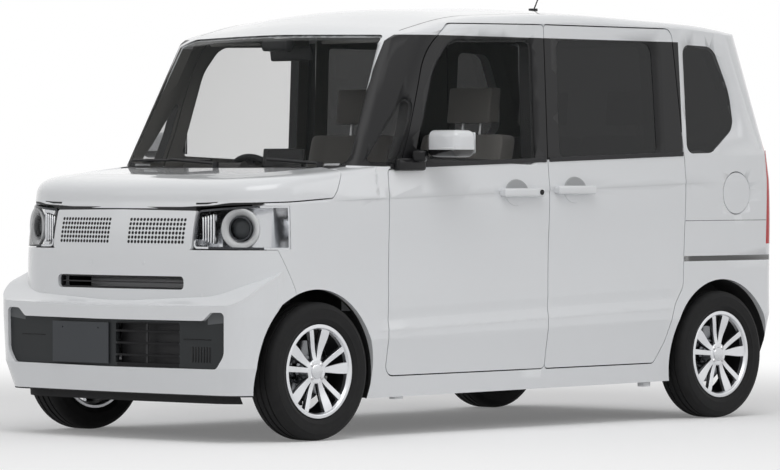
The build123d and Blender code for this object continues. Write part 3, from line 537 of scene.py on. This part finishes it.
def addTurned(mesh, rows, centre, direction, steps=48):
    # closed or open profile of (radius, height) spun round a direction
    part = bmesh.new()
    verts = [part.verts.new((radius, 0, height)) for radius, height in rows]
    edges = [part.edges.new(pair) for pair in zip(verts, verts[1:])]
    bmesh.ops.spin(part, geom=verts + edges, cent=(0, 0, 0), axis=(0, 0, 1), angle=math.tau, steps=steps,
                   use_merge=True)
    bmesh.ops.transform(part, matrix=facing(direction, centre), verts=part.verts)
    merge(mesh, part)


def padPiece(name, lookName, rows, bodyName="car_body", sign=1, **more):
    mesh = bmesh.new()
    for row in rows:
        addPad(mesh, sign, *row)
    return newPiece(name, mesh, lookName, bodyName, **more)


def turnedPiece(name, lookName, rows, centre, direction, bodyName="car_body", steps=48, **more):
    mesh = bmesh.new()
    addTurned(mesh, rows, centre, direction, steps)
    return newPiece(name, mesh, lookName, bodyName, **more)


def stripPiece(name, path, strip, bodyName="car_body", **more):
    # upright strip along a path that gives its middle
    depth, height = Vector(strip["depth"]), Vector((0, 0, strip["height"]))
    mesh = bmesh.new()
    addStrip(mesh, lambda u: (path(u), depth, height), strip["cuts"])
    newPiece(name, mesh, "trim", bodyName, **more)


trees = {}


def seat(nodeName, start, direction):
    # point and outward direction where a line from start meets a CAD node, or the panel that replaces it
    if nodeName not in trees:
        data = nodes[nodeName].data
        trees[nodeName] = BVHTree.FromPolygons([v.co.copy() for v in data.vertices],
                                               [tuple(f.vertices) for f in data.polygons])
    spot, normal, index, reach = trees[nodeName].ray_cast(Vector(start), Vector(direction).normalized())
    if spot is None:
        raise ValueError(f"nothing of {nodeName} on the line from {start}")
    if normal.dot(Vector(direction)) > 0:
        normal = -normal
    return spot, normal


def fromFront(nodeName, x, z):
    return seat(nodeName, (x, rayStart["front"], z), (0, 1, 0))


def fromBehind(nodeName, x, z):
    return seat(nodeName, (x, rayStart["rear"], z), (0, -1, 0))


def fromSide(nodeName, sign, y, z):
    return seat(nodeName, (sign * rayStart["side"], y, z), (-sign, 0, 0))


def addStrip(mesh, path, cuts):
    # bar along a path: path(u) gives its middle, its depth and its height as vectors
    part = bmesh.new()
    bmesh.ops.create_cube(part, size=1.0)
    along = [edge for edge in part.edges if abs(edge.verts[0].co.y - edge.verts[1].co.y) > 0.5]
    bmesh.ops.subdivide_edges(part, edges=along, cuts=cuts)
    for vert in part.verts:
        middle, depth, height = path(vert.co.y + 0.5)
        vert.co = middle + depth * vert.co.x + height * vert.co.z
    merge(mesh, part)


def ease(value, low, high):
    share = min(max((value - low) / (high - low), 0.0), 1.0)
    return share * share * (3 - 2 * share)


def onLine(rows, value):
    # height of a bent line, rows of (place, height) from high places to low ones
    if value >= rows[0][0]:
        return rows[0][1]
    for (a, high), (b, low) in zip(rows, rows[1:]):
        if value >= b:
            return low + (high - low) * (value - b) / (a - b)
    return rows[-1][1]


sideLook = {
    "levels": (0.48, 0.52, 0.57, 0.65, 0.75, 0.85), "planeDist": 0.000001,
    "innerX": 0.69, "topZ": 1.1, "footZ": 0.33, "splitZ": 0.8, "facingOut": 0.5,
    "waistY": (-1.12, -0.98, 1.1, 1.3), "ledgeY": (-0.9, -0.8, 0.93, 1.04),
    "waist": ((1.1, 0.0), (1.05, 0.0008), (0.9965, 0.003), (0.9915, 0.0), (0.96, -0.0008),
        (0.9, -0.0008), (0.8, 0.0)),
    "ledge": ((0.8, 0.0), (0.7, -0.0018), (0.6, -0.004), (0.545, -0.0038), (0.5, 0.0002),
        (0.4585, 0.0056), (0.4525, 0.0042), (0.4, 0.0016), (0.33, 0.0)),
    "stations": (-1.12, -1.07, -1.02, -0.98, -0.9, -0.87, -0.84, -0.8, -0.6, -0.3, 0.0, 0.3, 0.6, 0.93,
        0.965, 1.0, 1.04, 1.1, 1.16, 1.22, 1.3),
}


def doorBody(label, side):
    return f"door_{side}" if label == "front_door" else "car_body"


def fade(y, riseFrom, riseTo, fallFrom, fallTo):
    return ease(y, riseFrom, riseTo) * (1 - ease(y, fallFrom, fallTo))


def cutMesh(mesh, place, normal):
    bmesh.ops.bisect_plane(mesh, geom=mesh.verts[:] + mesh.edges[:] + mesh.faces[:],
                           dist=sideLook["planeDist"], plane_co=place, plane_no=normal)


def pressSide(nodeName, pieceName, bodyName, lookName):
    # copy of a side panel with the waist crease and the lower ledge raised on its outer face;
    # each vertex moves outwards, by its row's height without the sign
    mesh = bmesh.new()
    mesh.from_mesh(nodes[nodeName].data)
    bmesh.ops.remove_doubles(mesh, verts=mesh.verts, dist=sameSpot)
    for level in sorted({row[0] for row in sideLook["waist"] + sideLook["ledge"]} | set(sideLook["levels"])):
        cutMesh(mesh, (0, 0, level), (0, -climb, 1))
    low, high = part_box(nodeName)
    for station in sideLook["stations"]:
        if low[1] < station < high[1]:
            cutMesh(mesh, (0, station, 0), (0, 1, 0))
    mesh.normal_update()
    moves = []
    for vert in mesh.verts:
        x, y, z = vert.co
        level = z - y * climb
        if abs(x) < sideLook["innerX"] or level > sideLook["topZ"] or level < sideLook["footZ"]:
            continue
        if max(face.normal.x * math.copysign(1, x) for face in vert.link_faces) < sideLook["facingOut"]:
            continue
        part = "waist" if level > sideLook["splitZ"] else "ledge"
        out = onLine(sideLook[part], level) * fade(y, *sideLook[part + "Y"])
        moves.append((vert, math.copysign(out, x)))
    for vert, out in moves:
        vert.co.x += out
    trees[nodeName] = BVHTree.FromBMesh(mesh)
    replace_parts(newPiece(pieceName, mesh, lookName, bodyName, flat=24), nodeName)


sidePanels = {
    "front_door": ("front_door_panel", "sidePaint"), "sliding_door": ("sliding_door_panel", "sidePaint"),
    "body_side": ("side_panel", "sidePaint"), "front_wing": ("wing_panel", "wingPaint"),
}
for side, sign in bodySides:
    for part, (panel, lookName) in sidePanels.items():
        pressSide(f"{part}_{side}", f"{panel}_{side}", doorBody(part, side), lookName)
print("side panels pressed")


def sides(make):
    # the same piece for the car's left and right
    for side, sign in bodySides:
        make(side, sign)


grilleHoles = {"rows": 6, "columns": 17, "pitch": 0.0183, "firstX": 0.062, "topZ": 0.886, "rowPitch": 0.0178,
               "radius": 0.0058, "steps": 12, "middle": (0.0002, 0.0002),
               "rim": ((1.22, -0.0004), (1.1, 0.0009), (1.0, 0.0004), (0.97, 0.0002))}


def makeGrilleHoles(side, sign):
    # perforated field beside the bare middle of the grille panel
    mesh = bmesh.new()
    hole = grilleHoles
    rim = [(hole["radius"] * share, height) for share, height in hole["rim"]] + [hole["middle"]]
    for row in range(hole["rows"]):
        for column in range(hole["columns"]):
            x = sign * (hole["firstX"] + column * hole["pitch"])
            z = hole["topZ"] - row * hole["rowPitch"]
            spot, normal = fromFront("grille_panel", x, z)
            addTurned(mesh, rim, spot, normal, hole["steps"])
    newPiece(f"grille_holes_{side}", mesh, "glossBlack")


headlampLook = {
    "centre": (0.598, -1.537, 0.85), "facing": (0.42, -1.0, 0.0),
    "ring": ((0.051, -0.024), (0.055, -0.014), (0.063, -0.005), (0.072, 0.0), (0.079, 0.0005), (0.082, -0.003),
        (0.082, -0.012), (0.055, -0.028), (0.051, -0.024)),
    "bezel": ((0.0515, -0.02), (0.05, -0.018), (0.0475, -0.026), (0.0455, -0.03), (0.0455, -0.05),
        (0.0515, -0.05), (0.0515, -0.02)),
    "eyeRadius": 0.0462, "eyeFoot": -0.04, "eyeRise": 0.021, "eyeAngles": (0.5, 12, 24, 36, 48, 60, 72, 84, 90),
    "bars": 5, "barX": 0.492, "barPitch": 0.014, "barInset": 0.03, "bar": (0.0085, 0.02, 0.118),
    "barFall": 0.006, "barRound": 0.0025,
}


def makeHeadlampInside(side, sign):
    lamp = headlampLook
    centre, toward = mirrored(lamp["centre"], sign), mirrored(lamp["facing"], sign).normalized()
    turnedPiece(f"daytime_ring_{side}", "lightGuide", lamp["ring"], centre, toward, steps=72)
    turnedPiece(f"projector_bezel_{side}", "chrome", lamp["bezel"], centre, toward)
    angles = [math.radians(angle) for angle in lamp["eyeAngles"]]
    dome = [(lamp["eyeRadius"] * math.sin(a), lamp["eyeFoot"] + lamp["eyeRise"] * math.cos(a)) for a in angles]
    turnedPiece(f"projector_lens_{side}", "eyeGlass", dome, centre, toward)
    mesh = bmesh.new()
    width, depth, height = lamp["bar"]
    for step in range(lamp["bars"]):
        x = sign * (lamp["barX"] - step * lamp["barPitch"])
        spot, normal = fromFront("headlamp_lenses", x, lamp["centre"][2])
        spot.y += lamp["barInset"]
        addRoundedBox(mesh, spot, (width, depth, height - step * lamp["barFall"]), lamp["barRound"], 2)
    newPiece(f"turn_lamp_bars_{side}", mesh, "chrome")


browLook = {"rows": ((0.395, -1.583, 0.9455), (0.45, -1.579, 0.9465), (0.5, -1.572, 0.949),
        (0.55, -1.556, 0.952), (0.6, -1.533, 0.9545), (0.65, -1.492, 0.956),
        (0.7, -1.42, 0.957)),
            "inset": 0.021, "depth": (0, 0.04, 0), "height": 0.017, "cuts": 23}


def makeLampBrow(side, sign):
    # dark closing strip between the top of the lamp and the bonnet edge
    rows = browLook["rows"]

    def path(u):
        place = min(max(u, 0.0), 0.9999) * (len(rows) - 1)
        first, second = Vector(rows[int(place)]), Vector(rows[int(place) + 1])
        middle = first.lerp(second, place - int(place)) + Vector((0, browLook["inset"], 0))
        middle.x *= sign
        return middle

    stripPiece(f"lamp_brow_{side}", path, browLook)


sealLook = {"width": 0.8, "y": -1.59, "bow": 0.115, "z": 0.93, "depth": (0, 0.03, 0), "height": 0.014,
            "cuts": 15}


def makeNoseFiller():
    # closing strip over the grille panel, under the front edge of the bonnet
    def path(u):
        x = (u - 0.5) * sealLook["width"]
        return Vector((x, sealLook["y"] + sealLook["bow"] * x * x, sealLook["z"]))

    stripPiece("bonnet_front_seal", path, sealLook)


sides(makeGrilleHoles)
sides(makeHeadlampInside)
sides(makeLampBrow)
makeNoseFiller()
print("nose pieces ready")

handleLook = {
    "z": 0.992, "drop": 0.02, "depth": 0.017, "height": 0.036, "round": 0.0078, "standOff": 0.026,
    "foot": (0.034, 0.038, 0.031), "footRound": 0.007, "footInset": 0.02, "footOut": 0.011,
    "cupLength": 0.142, "cupHeight": 0.112, "flat": 60,
    "cup": ((0.0005, 0.0016), (0.6, 0.0018), (0.86, 0.0026), (0.94, 0.0036), (0.985, 0.003), (1.0, -0.001)),
    "lockY": 0.07, "lockRise": 0.02, "lockSink": 0.001,
    "lock": ((0.0115, 0.0), (0.0112, 0.004), (0.0075, 0.0048), (0.007, 0.003), (0.0004, 0.003)),
}
doorLooks = {   # middle of the handle, middle of its cup, length of the handle, ends of the window's strip
    "front_door": {"gripY": -0.03, "cupY": -0.05, "length": 0.25, "belt": (-0.8, 0.148)},
    "sliding_door": {"gripY": 0.305, "cupY": 0.318, "length": 0.236, "belt": (0.166, 1.044)},
}
beltLook = {"z": 1.1236, "drop": 0.018, "sink": 0.004, "depth": (0.014, 0, 0), "height": 0.019, "cuts": 15,
            "bevel": 0.002}


def makeHandles(side, sign):
    # pull handles on two feet, each over the cup that a hand reaches into, and one lock cap
    handle, outward = handleLook, Vector((sign, 0, 0))
    for label, door in doorLooks.items():
        panel, body = f"{label}_{side}", doorBody(label, side)
        height = handle["z"] + door["gripY"] * climb
        spot, normal = fromSide(panel, sign, door["gripY"], height - handle["drop"])
        spot.z = height
        mesh = bmesh.new()
        grip = (handle["depth"], door["length"], handle["height"])
        addRoundedBox(mesh, spot + outward * handle["standOff"], grip, handle["round"], 4)
        for step in (-1, 1):
            along = Vector((0, step * (door["length"] / 2 - handle["footInset"]), 0))
            foot = spot + along + outward * handle["footOut"]
            addRoundedBox(mesh, foot, handle["foot"], handle["footRound"], 3)
        newPiece(f"{label}_handle_{side}", mesh, "paint", body, flat=handle["flat"])
        mesh = bmesh.new()
        addTurned(mesh, handle["cup"], (0, 0, 0), (0, 0, 1), 64)
        for vert in mesh.verts:
            x, y, lift = vert.co
            y, z = door["cupY"] + y * handle["cupLength"] / 2, height + x * handle["cupHeight"] / 2
            vert.co = fromSide(panel, sign, y, z)[0] + outward * lift
        # the upper part of the cup is painted grey as painted shade
        newPiece(f"{label}_handle_cup_{side}", mesh, "cupPaintedShade", body, flat=handle["flat"])
    if side == "left":
        spot, normal = fromSide("front_door_left", sign, handle["lockY"], handle["z"] - handle["drop"])
        reach = handle["standOff"] + handle["depth"] / 2 - handle["lockSink"]
        spot += Vector((reach, 0, handle["lockRise"]))
        turnedPiece("door_lock_cap", "glossBlack", handle["lock"], spot, outward, "door_left", 32)


def makeBeltStrips(side, sign):
    # black weather strip along the foot of the side windows
    for label, door in doorLooks.items():
        fromY, toY = door["belt"]

        def path(u):
            y = fromY + (toY - fromY) * u
            z = beltLook["z"] + y * climb
            outer = fromSide(f"{label}_{side}", sign, y, z - beltLook["drop"])[0].x
            return Vector((outer - sign * beltLook["sink"], y, z))

        stripPiece(f"{label}_belt_strip_{side}", path, beltLook, doorBody(label, side), bevel=beltLook["bevel"])


mirrorLook = {
    "shell": [((0.842, -0.567, 1.1925), (0.1755, 0.124, 0.111), 0.03, 7)],
    "foot": [((0.7335, -0.7, 1.108), (0.04, 0.17, 0.052), 0.012, 4),
        ((0.752, -0.655, 1.142), (0.06, 0.07, 0.05), 0.014, 4, 0.5, "Z")],
    "glass": [((0.842, -0.5035, 1.196), (0.15, 0.004, 0.086), 0.0018, 2)],
    "lampX": 0.87, "lampZ": 1.172, "lamp": ((0.096, 0.008, 0.01), 0.0035, 3, -0.05, "Z"), "lampOut": 0.0005,
}


def makeMirrorParts(side, sign):
    body = f"door_{side}"
    shell = padPiece(f"mirror_shell_{side}", "mirrorPaint", mirrorLook["shell"], body, sign, flat=180)
    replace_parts(shell, f"door_mirror_{side}")
    padPiece(f"mirror_foot_{side}", "glossBlack", mirrorLook["foot"], body, sign)
    padPiece(f"mirror_glass_{side}", "mirrorGlass", mirrorLook["glass"], body, sign)
    spot, normal = fromFront(f"door_mirror_{side}", sign * mirrorLook["lampX"], mirrorLook["lampZ"])
    place = mirrored(spot + normal * mirrorLook["lampOut"], sign)
    padPiece(f"mirror_turn_lamp_{side}", "lightGuide", [(place, *mirrorLook["lamp"])], body, sign)


sides(makeBeltStrips)
sides(makeHandles)
sides(makeMirrorParts)
print("door pieces ready")

wheelLook = {
    "planeX": 0.6525, "hubX": 0.7025, "rimSteps": 96, "tyreSteps": 112, "pairs": (75, 3, -69, -141, 147),
    "broad": {"turn": 0, "rootTurn": 3, "root": 0.022, "tip": 0.045},
    "slim": {"turn": 28, "rootTurn": 25, "root": 0.02, "tip": 0.024},
    "spokeFrom": 0.034, "spokeTo": 0.1715, "spokeDepth": 0.02, "spokeCuts": 8, "widenAt": (0.05, 0.9),
    "crest": 0.0505, "crestDip": 0.01, "crestRise": 0.0075, "bevel": 0.0016,
    "nuts": 4, "firstNut": 45, "nutReach": 0.0375, "nutSink": 0.006, "discX": 0.64,
    "rim": ((0.178, -0.064), (0.19, -0.064), (0.19, -0.058), (0.18, -0.055), (0.18, 0.055), (0.1895, 0.058),
        (0.1895, 0.063), (0.188, 0.0645), (0.176, 0.065), (0.1735, 0.0635), (0.17, 0.057),
        (0.168, 0.054), (0.168, -0.052), (0.178, -0.064)),
    "hub": ((0.026, -0.03), (0.118, -0.03), (0.118, -0.024), (0.04, -0.022), (0.04, 0.026), (0.05, 0.03),
        (0.05, 0.047), (0.046, 0.05), (0.026, 0.05), (0.026, -0.03)),
    "cap": ((0.0305, -0.006), (0.0305, 0.002), (0.0285, 0.0045), (0.024, 0.0055), (0.012, 0.0066),
        (0.0003, 0.0068)),
    "nut": ((0.0135, -0.01), (0.0135, -0.004), (0.0095, -0.004), (0.0095, 0.006), (0.007, 0.009),
        (0.0003, 0.01)),
    "disc": ((0.045, 0.004), (0.062, 0.004), (0.064, -0.01), (0.122, -0.01), (0.122, -0.022), (0.045, -0.022),
        (0.045, 0.004)),
    "halfTyre": ((0.19, 0.058), (0.196, 0.065), (0.203, 0.0705), (0.21, 0.0732), (0.211, 0.0742),
        (0.213, 0.0742), (0.214, 0.074), (0.228, 0.0758), (0.24, 0.0765), (0.249, 0.0756),
        (0.25, 0.0762), (0.252, 0.0758), (0.253, 0.0748), (0.262, 0.0715), (0.269, 0.066),
        (0.2735, 0.059), (0.2762, 0.051), (0.2778, 0.042), (0.2783, 0.0345), (0.273, 0.0335),
        (0.273, 0.0275), (0.2784, 0.0265), (0.2785, 0.006), (0.273, 0.005)),
    "tyreInside": ((0.18, -0.055), (0.18, 0.055)),
}


def around(degrees, reach):
    # point on a circle in the wheel's plane
    angle = math.radians(degrees)
    return Vector((0, math.cos(angle), math.sin(angle))) * reach


def addSpoke(mesh, spoke, pair, centre, outward):
    wheel = wheelLook
    start = around(pair + spoke["rootTurn"], wheel["spokeFrom"])
    stop = around(pair + spoke["turn"], wheel["spokeTo"])
    across = Vector((0, -(stop - start).z, (stop - start).y)).normalized()
    depth = wheel["spokeDepth"]

    def path(u):
        crest = wheel["crest"] - wheel["crestDip"] * math.sin(u * math.pi) * (1 - u) + wheel["crestRise"] * u
        grown = ease(u, *wheel["widenAt"]) if spoke is wheel["broad"] else u
        width = spoke["root"] + (spoke["tip"] - spoke["root"]) * grown
        return centre + start.lerp(stop, u) + outward * (crest - depth / 2), across * width, outward * depth

    addStrip(mesh, path, wheel["spokeCuts"])


def makeWheel(end, side, sign, axleY):
    # rim with five pairs of a broad and a slim spoke that meet at the hub, tyre, cap, nuts and brake disc
    def onAxle(x):
        return Vector((sign * x, axleY, axleLook["z"]))

    wheel, body = wheelLook, f"wheel_{end}_{side}"
    outward = Vector((sign, 0, 0))
    centre, hub = onAxle(wheel["planeX"]), onAxle(wheel["hubX"])
    mesh = bmesh.new()
    addTurned(mesh, wheel["rim"], centre, outward, wheel["rimSteps"])
    addTurned(mesh, wheel["hub"], centre, outward, 64)
    for pair in wheel["pairs"]:
        for spoke in (wheel["broad"], wheel["slim"]):
            addSpoke(mesh, spoke, pair, centre, outward)
    rim = newPiece(f"wheel_rim_{end}_{side}", mesh, "wheelAlloy", body, bevel=wheel["bevel"])
    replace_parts(rim, body)
    half = wheel["halfTyre"]
    rows = [*half, *((radius, -height) for radius, height in reversed(half)), *wheel["tyreInside"], half[0]]
    tyre = turnedPiece(f"tyre_tread_{end}_{side}", "rubber", rows, centre, outward, body, wheel["tyreSteps"],
                       flat=35)
    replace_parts(tyre, f"tyre_{end}_{side}")
    turnedPiece(f"wheel_cap_{end}_{side}", "alloy", wheel["cap"], hub, outward, body)
    mesh = bmesh.new()
    for nut in range(wheel["nuts"]):
        turn = wheel["firstNut"] + 360 / wheel["nuts"] * nut
        place = hub + around(turn, wheel["nutReach"]) - outward * wheel["nutSink"]
        addTurned(mesh, wheel["nut"], place, outward, 6)
    newPiece(f"wheel_nuts_{end}_{side}", mesh, "brightSteel", body, "alloy")
    # the disc's dark steel is painted shade
    turnedPiece(f"brake_disc_{end}_{side}", "brakeDiscShadeSteel", wheel["disc"], onAxle(wheel["discX"]), outward, body,
                72)


for end, axleY in (("front", axleLook["frontY"]), ("rear", axleLook["rearY"])):
    for side, sign in bodySides:
        makeWheel(end, side, sign, axleY)
print("wheel pieces ready")

seatLook = {
    "cuts": 22, "rounding": 4, "groove": 0.007, "grooveWidth": 0.035, "crossWidth": 0.05, "seamAt": 0.6,
    "bolster": 0.012, "bolsterAt": 0.84, "bolsterWidth": 0.16, "waist": 0.03,
    "cushion": ((-0.322, 0.566), (-0.318, 0.672), (0.18, 0.64), (0.176, 0.566)),
    "back": ((0.186, 0.612), (0.092, 0.612), (0.242, 1.236), (0.322, 1.232)),
    "headrest": ((0.336, 1.284), (0.27, 1.284), (0.29, 1.434), (0.35, 1.434)), "headrestHalf": 0.122,
    "posts": (-0.05, 0.05), "postFoot": (0.292, 1.225), "postTop": (0.304, 1.3), "postRadius": 0.0065,
    "baseZ": 0.449, "base": (0.396, 0.372, 0.232),
}
seatRows = {   # middle of the seat across the car, shift to the rear, half width, shift of the base
    "front": (0.33, -0.18, 0.25, -0.066), "rear": (0.262, 0.93, 0.245, -0.076),
}


def bell(value, width):
    return math.exp(-(value / width) ** 2)


def addCushion(mesh, centreX, half, corners, crown, seamAt, across):
    # crowned pad: a cube, relaxed, stretched into a four-cornered side view, with sewn grooves
    bmesh.ops.create_cube(mesh, size=2.0)
    bmesh.ops.subdivide_edges(mesh, edges=mesh.edges[:], cuts=seatLook["cuts"], use_grid_fill=True)
    verts = mesh.verts[:]
    for step in range(seatLook["rounding"]):
        bmesh.ops.smooth_vert(mesh, verts=verts, factor=0.5, use_axis_x=True, use_axis_y=True, use_axis_z=True)
    reach = [max(abs(vert.co[axis]) for vert in verts) for axis in range(3)]
    low, high, highFar, lowFar = [Vector((0, y, z)) for y, z in corners]
    for vert in verts:
        u, v, w = (vert.co[axis] / reach[axis] for axis in range(3))
        bottom = low.lerp(lowFar, (v + 1) / 2)
        top = high.lerp(highFar, (v + 1) / 2)
        up = (top - bottom).normalized()
        spot = bottom.lerp(top, (w + 1) / 2)
        swell = crown * (1 - u * u) * (1 - v * v) * (0.5 + w / 2)
        if seamAt and w > 0:
            swell -= seatLook["groove"] * bell(abs(u) - seamAt, seatLook["grooveWidth"]) * w
            swell += seatLook["bolster"] * bell(abs(u) - seatLook["bolsterAt"], seatLook["bolsterWidth"]) * w
        if across is not None and w > 0 and abs(u) < seamAt:
            swell -= seatLook["groove"] * bell(v - across, seatLook["crossWidth"]) * w
        pull = 1 - seatLook["waist"] * (1 - v * v) * (1 - w * w)
        vert.co = spot + up * swell + Vector((centreX + u * half * pull, 0, 0))


def makeSeat(row, label, centreX, shiftY, half, baseY):
    def pad(part, halfWidth, crown, seamAt, across=None):
        corners = [(y + shiftY, z) for y, z in seatLook[part]]
        mesh = bmesh.new()
        addCushion(mesh, centreX, halfWidth, corners, crown, seamAt, across)
        piece = newPiece(f"seat_{part}_{label}", mesh, "cloth", flat=180)
        return piece

    cushion = pad("cushion", half - 0.006, 0.018, seatLook["seamAt"], 0.1)
    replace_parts(cushion, f"{row}_seats")
    pad("back", half - 0.016, 0.016, seatLook["seamAt"], 0.15)
    pad("headrest", seatLook["headrestHalf"], 0.01, 0.0)
    mesh = bmesh.new()
    for x in seatLook["posts"]:
        foot, top = ((centreX + x, shiftY + y, z) for y, z in (seatLook["postFoot"], seatLook["postTop"]))
        addRod(mesh, foot, top, seatLook["postRadius"])
    newPiece(f"headrest_posts_{label}", mesh, "brightSteel")
    base = ((centreX, shiftY + baseY, seatLook["baseZ"]), seatLook["base"], 0.02, 3)
    padPiece(f"seat_base_{label}", "trim", [base])


for row, (centreX, *rest) in seatRows.items():
    for side, sign in bodySides:
        makeSeat(row, f"{row}_{side}", sign * centreX, *rest)

cabinLook = {
    "mirror": ((0.0, -0.64, 1.572), (0.24, 0.022, 0.062), 0.01, 3, 0.15, "X"),
    "stalk": ((0.0, -0.65, 1.584), (0.0, -0.71, 1.612), 0.008),
    "sensor": [((0, -0.722, 1.604), (0.15, 0.05, 0.046), 0.012, 3)],
    "display": [((0.0, -0.69, 1.105), (0.235, 0.018, 0.14), 0.006, 3, -0.12, "X")],
    "driver": [((-0.33, -0.706, 1.075), (0.25, 0.02, 0.058), 0.006, 3, -0.3, "X")],
    "ventX": (-0.53, -0.13, 0.13, 0.53), "ventY": -0.652, "ventZ": (0.978, 0.992, 1.006, 1.02),
    "vent": ((0.095, 0.022, 0.004), 0.0012, 1),
    "visors": [((x, -0.58, 1.63), (0.3, 0.14, 0.014), 0.006, 3, 0.22, "X") for x in (0.33, -0.33)],
    "hornCentre": (-0.33, -0.48, 0.985), "hornAxis": (0, 0.88295, 0.46947),
    "horn": ((0.072, -0.02), (0.074, 0.004), (0.066, 0.018), (0.04, 0.027), (0.0004, 0.03)),
}


def makeCabinParts():
    cabin = cabinLook
    mesh = bmesh.new()
    addPad(mesh, 1, *cabin["mirror"])
    addRod(mesh, *cabin["stalk"])
    newPiece("room_mirror", mesh, "trim")
    padPiece("screen_sensor_cover", "trim", cabin["sensor"])
    padPiece("centre_display", "glossBlack", cabin["display"])
    padPiece("driver_display", "glossBlack", cabin["driver"])
    padPiece("dash_vents", "trim",
             [((x, cabin["ventY"], z), *cabin["vent"]) for x in cabin["ventX"] for z in cabin["ventZ"]])
    padPiece("sun_visors", "lining", cabin["visors"])
    turnedPiece("horn_pad", "trim", cabin["horn"], cabin["hornCentre"], cabin["hornAxis"], "steering_wheel")


makeCabinParts()
print("cabin pieces ready")

intakeLook = {
    "post": ((0.205, -1.67, 0.391), (0.012, 0.004, 0.16)),
    # dark backing sheet, painted shade behind the intake
    "shadeBacking": ((0.21, -1.64, 0.391), (0.37, 0.003, 0.172)),
    "slots": 7, "slotX": 0.455, "slotPitch": 0.015, "slotZ": 0.352, "slotOut": 0.0005,
    "slot": ((0.0065, 0.0035, 0.062), 0.0012, 2),
    "lineX": 0.48, "lineZ": 0.412, "lineOut": 0.0002, "line": ((0.15, 0.004, 0.003), 0.001, 1),
}


def makeIntakeMesh():
    # post in the intake, a dark sheet behind it as painted shade of the opening, the upright slots beside it
    # and a line over each end
    intake = intakeLook
    for part in ("post", "shadeBacking"):
        mesh = bmesh.new()
        addBox(mesh, *intake[part])
        newPiece(f"intake_{part}", mesh, "trim")
    mesh = bmesh.new()
    for step in range(intake["slots"]):
        x = intake["slotX"] + step * intake["slotPitch"]
        spot, normal = fromFront("lower_grille", x, intake["slotZ"])
        addRoundedBox(mesh, spot + normal * intake["slotOut"], *intake["slot"])
    for sign in (-1, 1):
        spot, normal = fromFront("lower_grille", sign * intake["lineX"], intake["lineZ"])
        turn = Matrix.Rotation(sign * math.atan2(abs(normal.x), abs(normal.y)), 4, "Z")
        addRoundedBox(mesh, spot + normal * intake["lineOut"], *intake["line"], turn)
    newPiece("grille_slots", mesh, "glossBlack")


sensorLook = {
    "front": ((0.15, 0.712), (0.46, 0.585)), "rear": ((0.42, 0.5), (0.15, 0.45)), "sink": 0.0008,
    "rim": ((0.0098, -0.0005), (0.0094, 0.001), (0.008, 0.0014), (0.0076, 0.0004), (0.0066, 0.0004),
        (0.0062, 0.0015), (0.0003, 0.0018)),
}


def makeSensors():
    for end, aim in (("front", fromFront), ("rear", fromBehind)):
        mesh = bmesh.new()
        for x, z in sensorLook[end]:
            for sign in (1, -1):
                spot, normal = aim(f"{end}_bumper", sign * x, z)
                addTurned(mesh, sensorLook["rim"], spot - normal * sensorLook["sink"], normal, 28)
        newPiece(f"{end}_bumper_sensors", mesh, "paint", slotName="bumper_paint")


makeIntakeMesh()
makeSensors()

gateLook = {
    "plate": [((0, 1.6968, 0.815), (0.33, 0.0008, 0.165), 0.0003, 1)],
    "garnishZ": 0.925, "garnishSink": 0.009, "garnish": ((0.52, 0.03, 0.042), 0.008, 4),
    "lampZ": 1.672, "lampSink": 0.002, "lamp": ((0.3, 0.012, 0.018), 0.004, 3),
    "pivot": (0.0, 1.235), "tip": (0.33, 1.262), "rodOut": 0.02, "armOut": 0.014, "arm": (0.007, 0.005),
    "bladeFrom": 0.08, "bladeOut": 0.008, "blade": 0.0055,
    "cap": ((0.02, -0.002), (0.02, 0.016), (0.014, 0.024), (0.0004, 0.026)),
    "reflectorX": 0.56, "reflectorZ": 0.4, "reflectorOut": 0.001,
    "reflector": ((0.11, 0.008, 0.03), 0.003, 3),
}


def makeGateParts():
    gate = gateLook
    padPiece("rear_plate_blank", "plateWhite", gate["plate"], "tailgate")
    bars = (("tailgate_handle", "garnish", "glossBlack"), ("high_stop_lamp", "lamp", "redLens"))
    for name, part, lookName in bars:
        spot, normal = fromBehind("tailgate", 0, gate[part + "Z"])
        spot.y -= gate[part + "Sink"]
        padPiece(name, lookName, [(spot, *gate[part])], "tailgate")
    mesh = bmesh.new()
    pivot, normal = fromBehind("tailgate_glass", *gate["pivot"])
    tip, tipNormal = fromBehind("tailgate_glass", *gate["tip"])
    addTurned(mesh, gate["cap"], pivot, normal)
    elbow = pivot.lerp(tip, 0.5) + tipNormal * gate["armOut"]
    addRod(mesh, pivot + normal * gate["rodOut"], elbow, *gate["arm"])
    lift = tipNormal * gate["bladeOut"]
    addRod(mesh, pivot.lerp(tip, gate["bladeFrom"]) + lift, tip + lift, gate["blade"])
    newPiece("rear_wiper", mesh, "trim", "tailgate")
    for side, sign in bodySides:
        mesh = bmesh.new()
        spot, normal = fromBehind("rear_bumper", sign * gate["reflectorX"], gate["reflectorZ"])
        turn = facing(normal) @ facing((0, 1, 0)).inverted()
        addRoundedBox(mesh, spot + normal * gate["reflectorOut"], *gate["reflector"], turn)
        newPiece(f"rear_reflector_{side}", mesh, "redLens")


makeGateParts()
print("front and rear pieces ready")
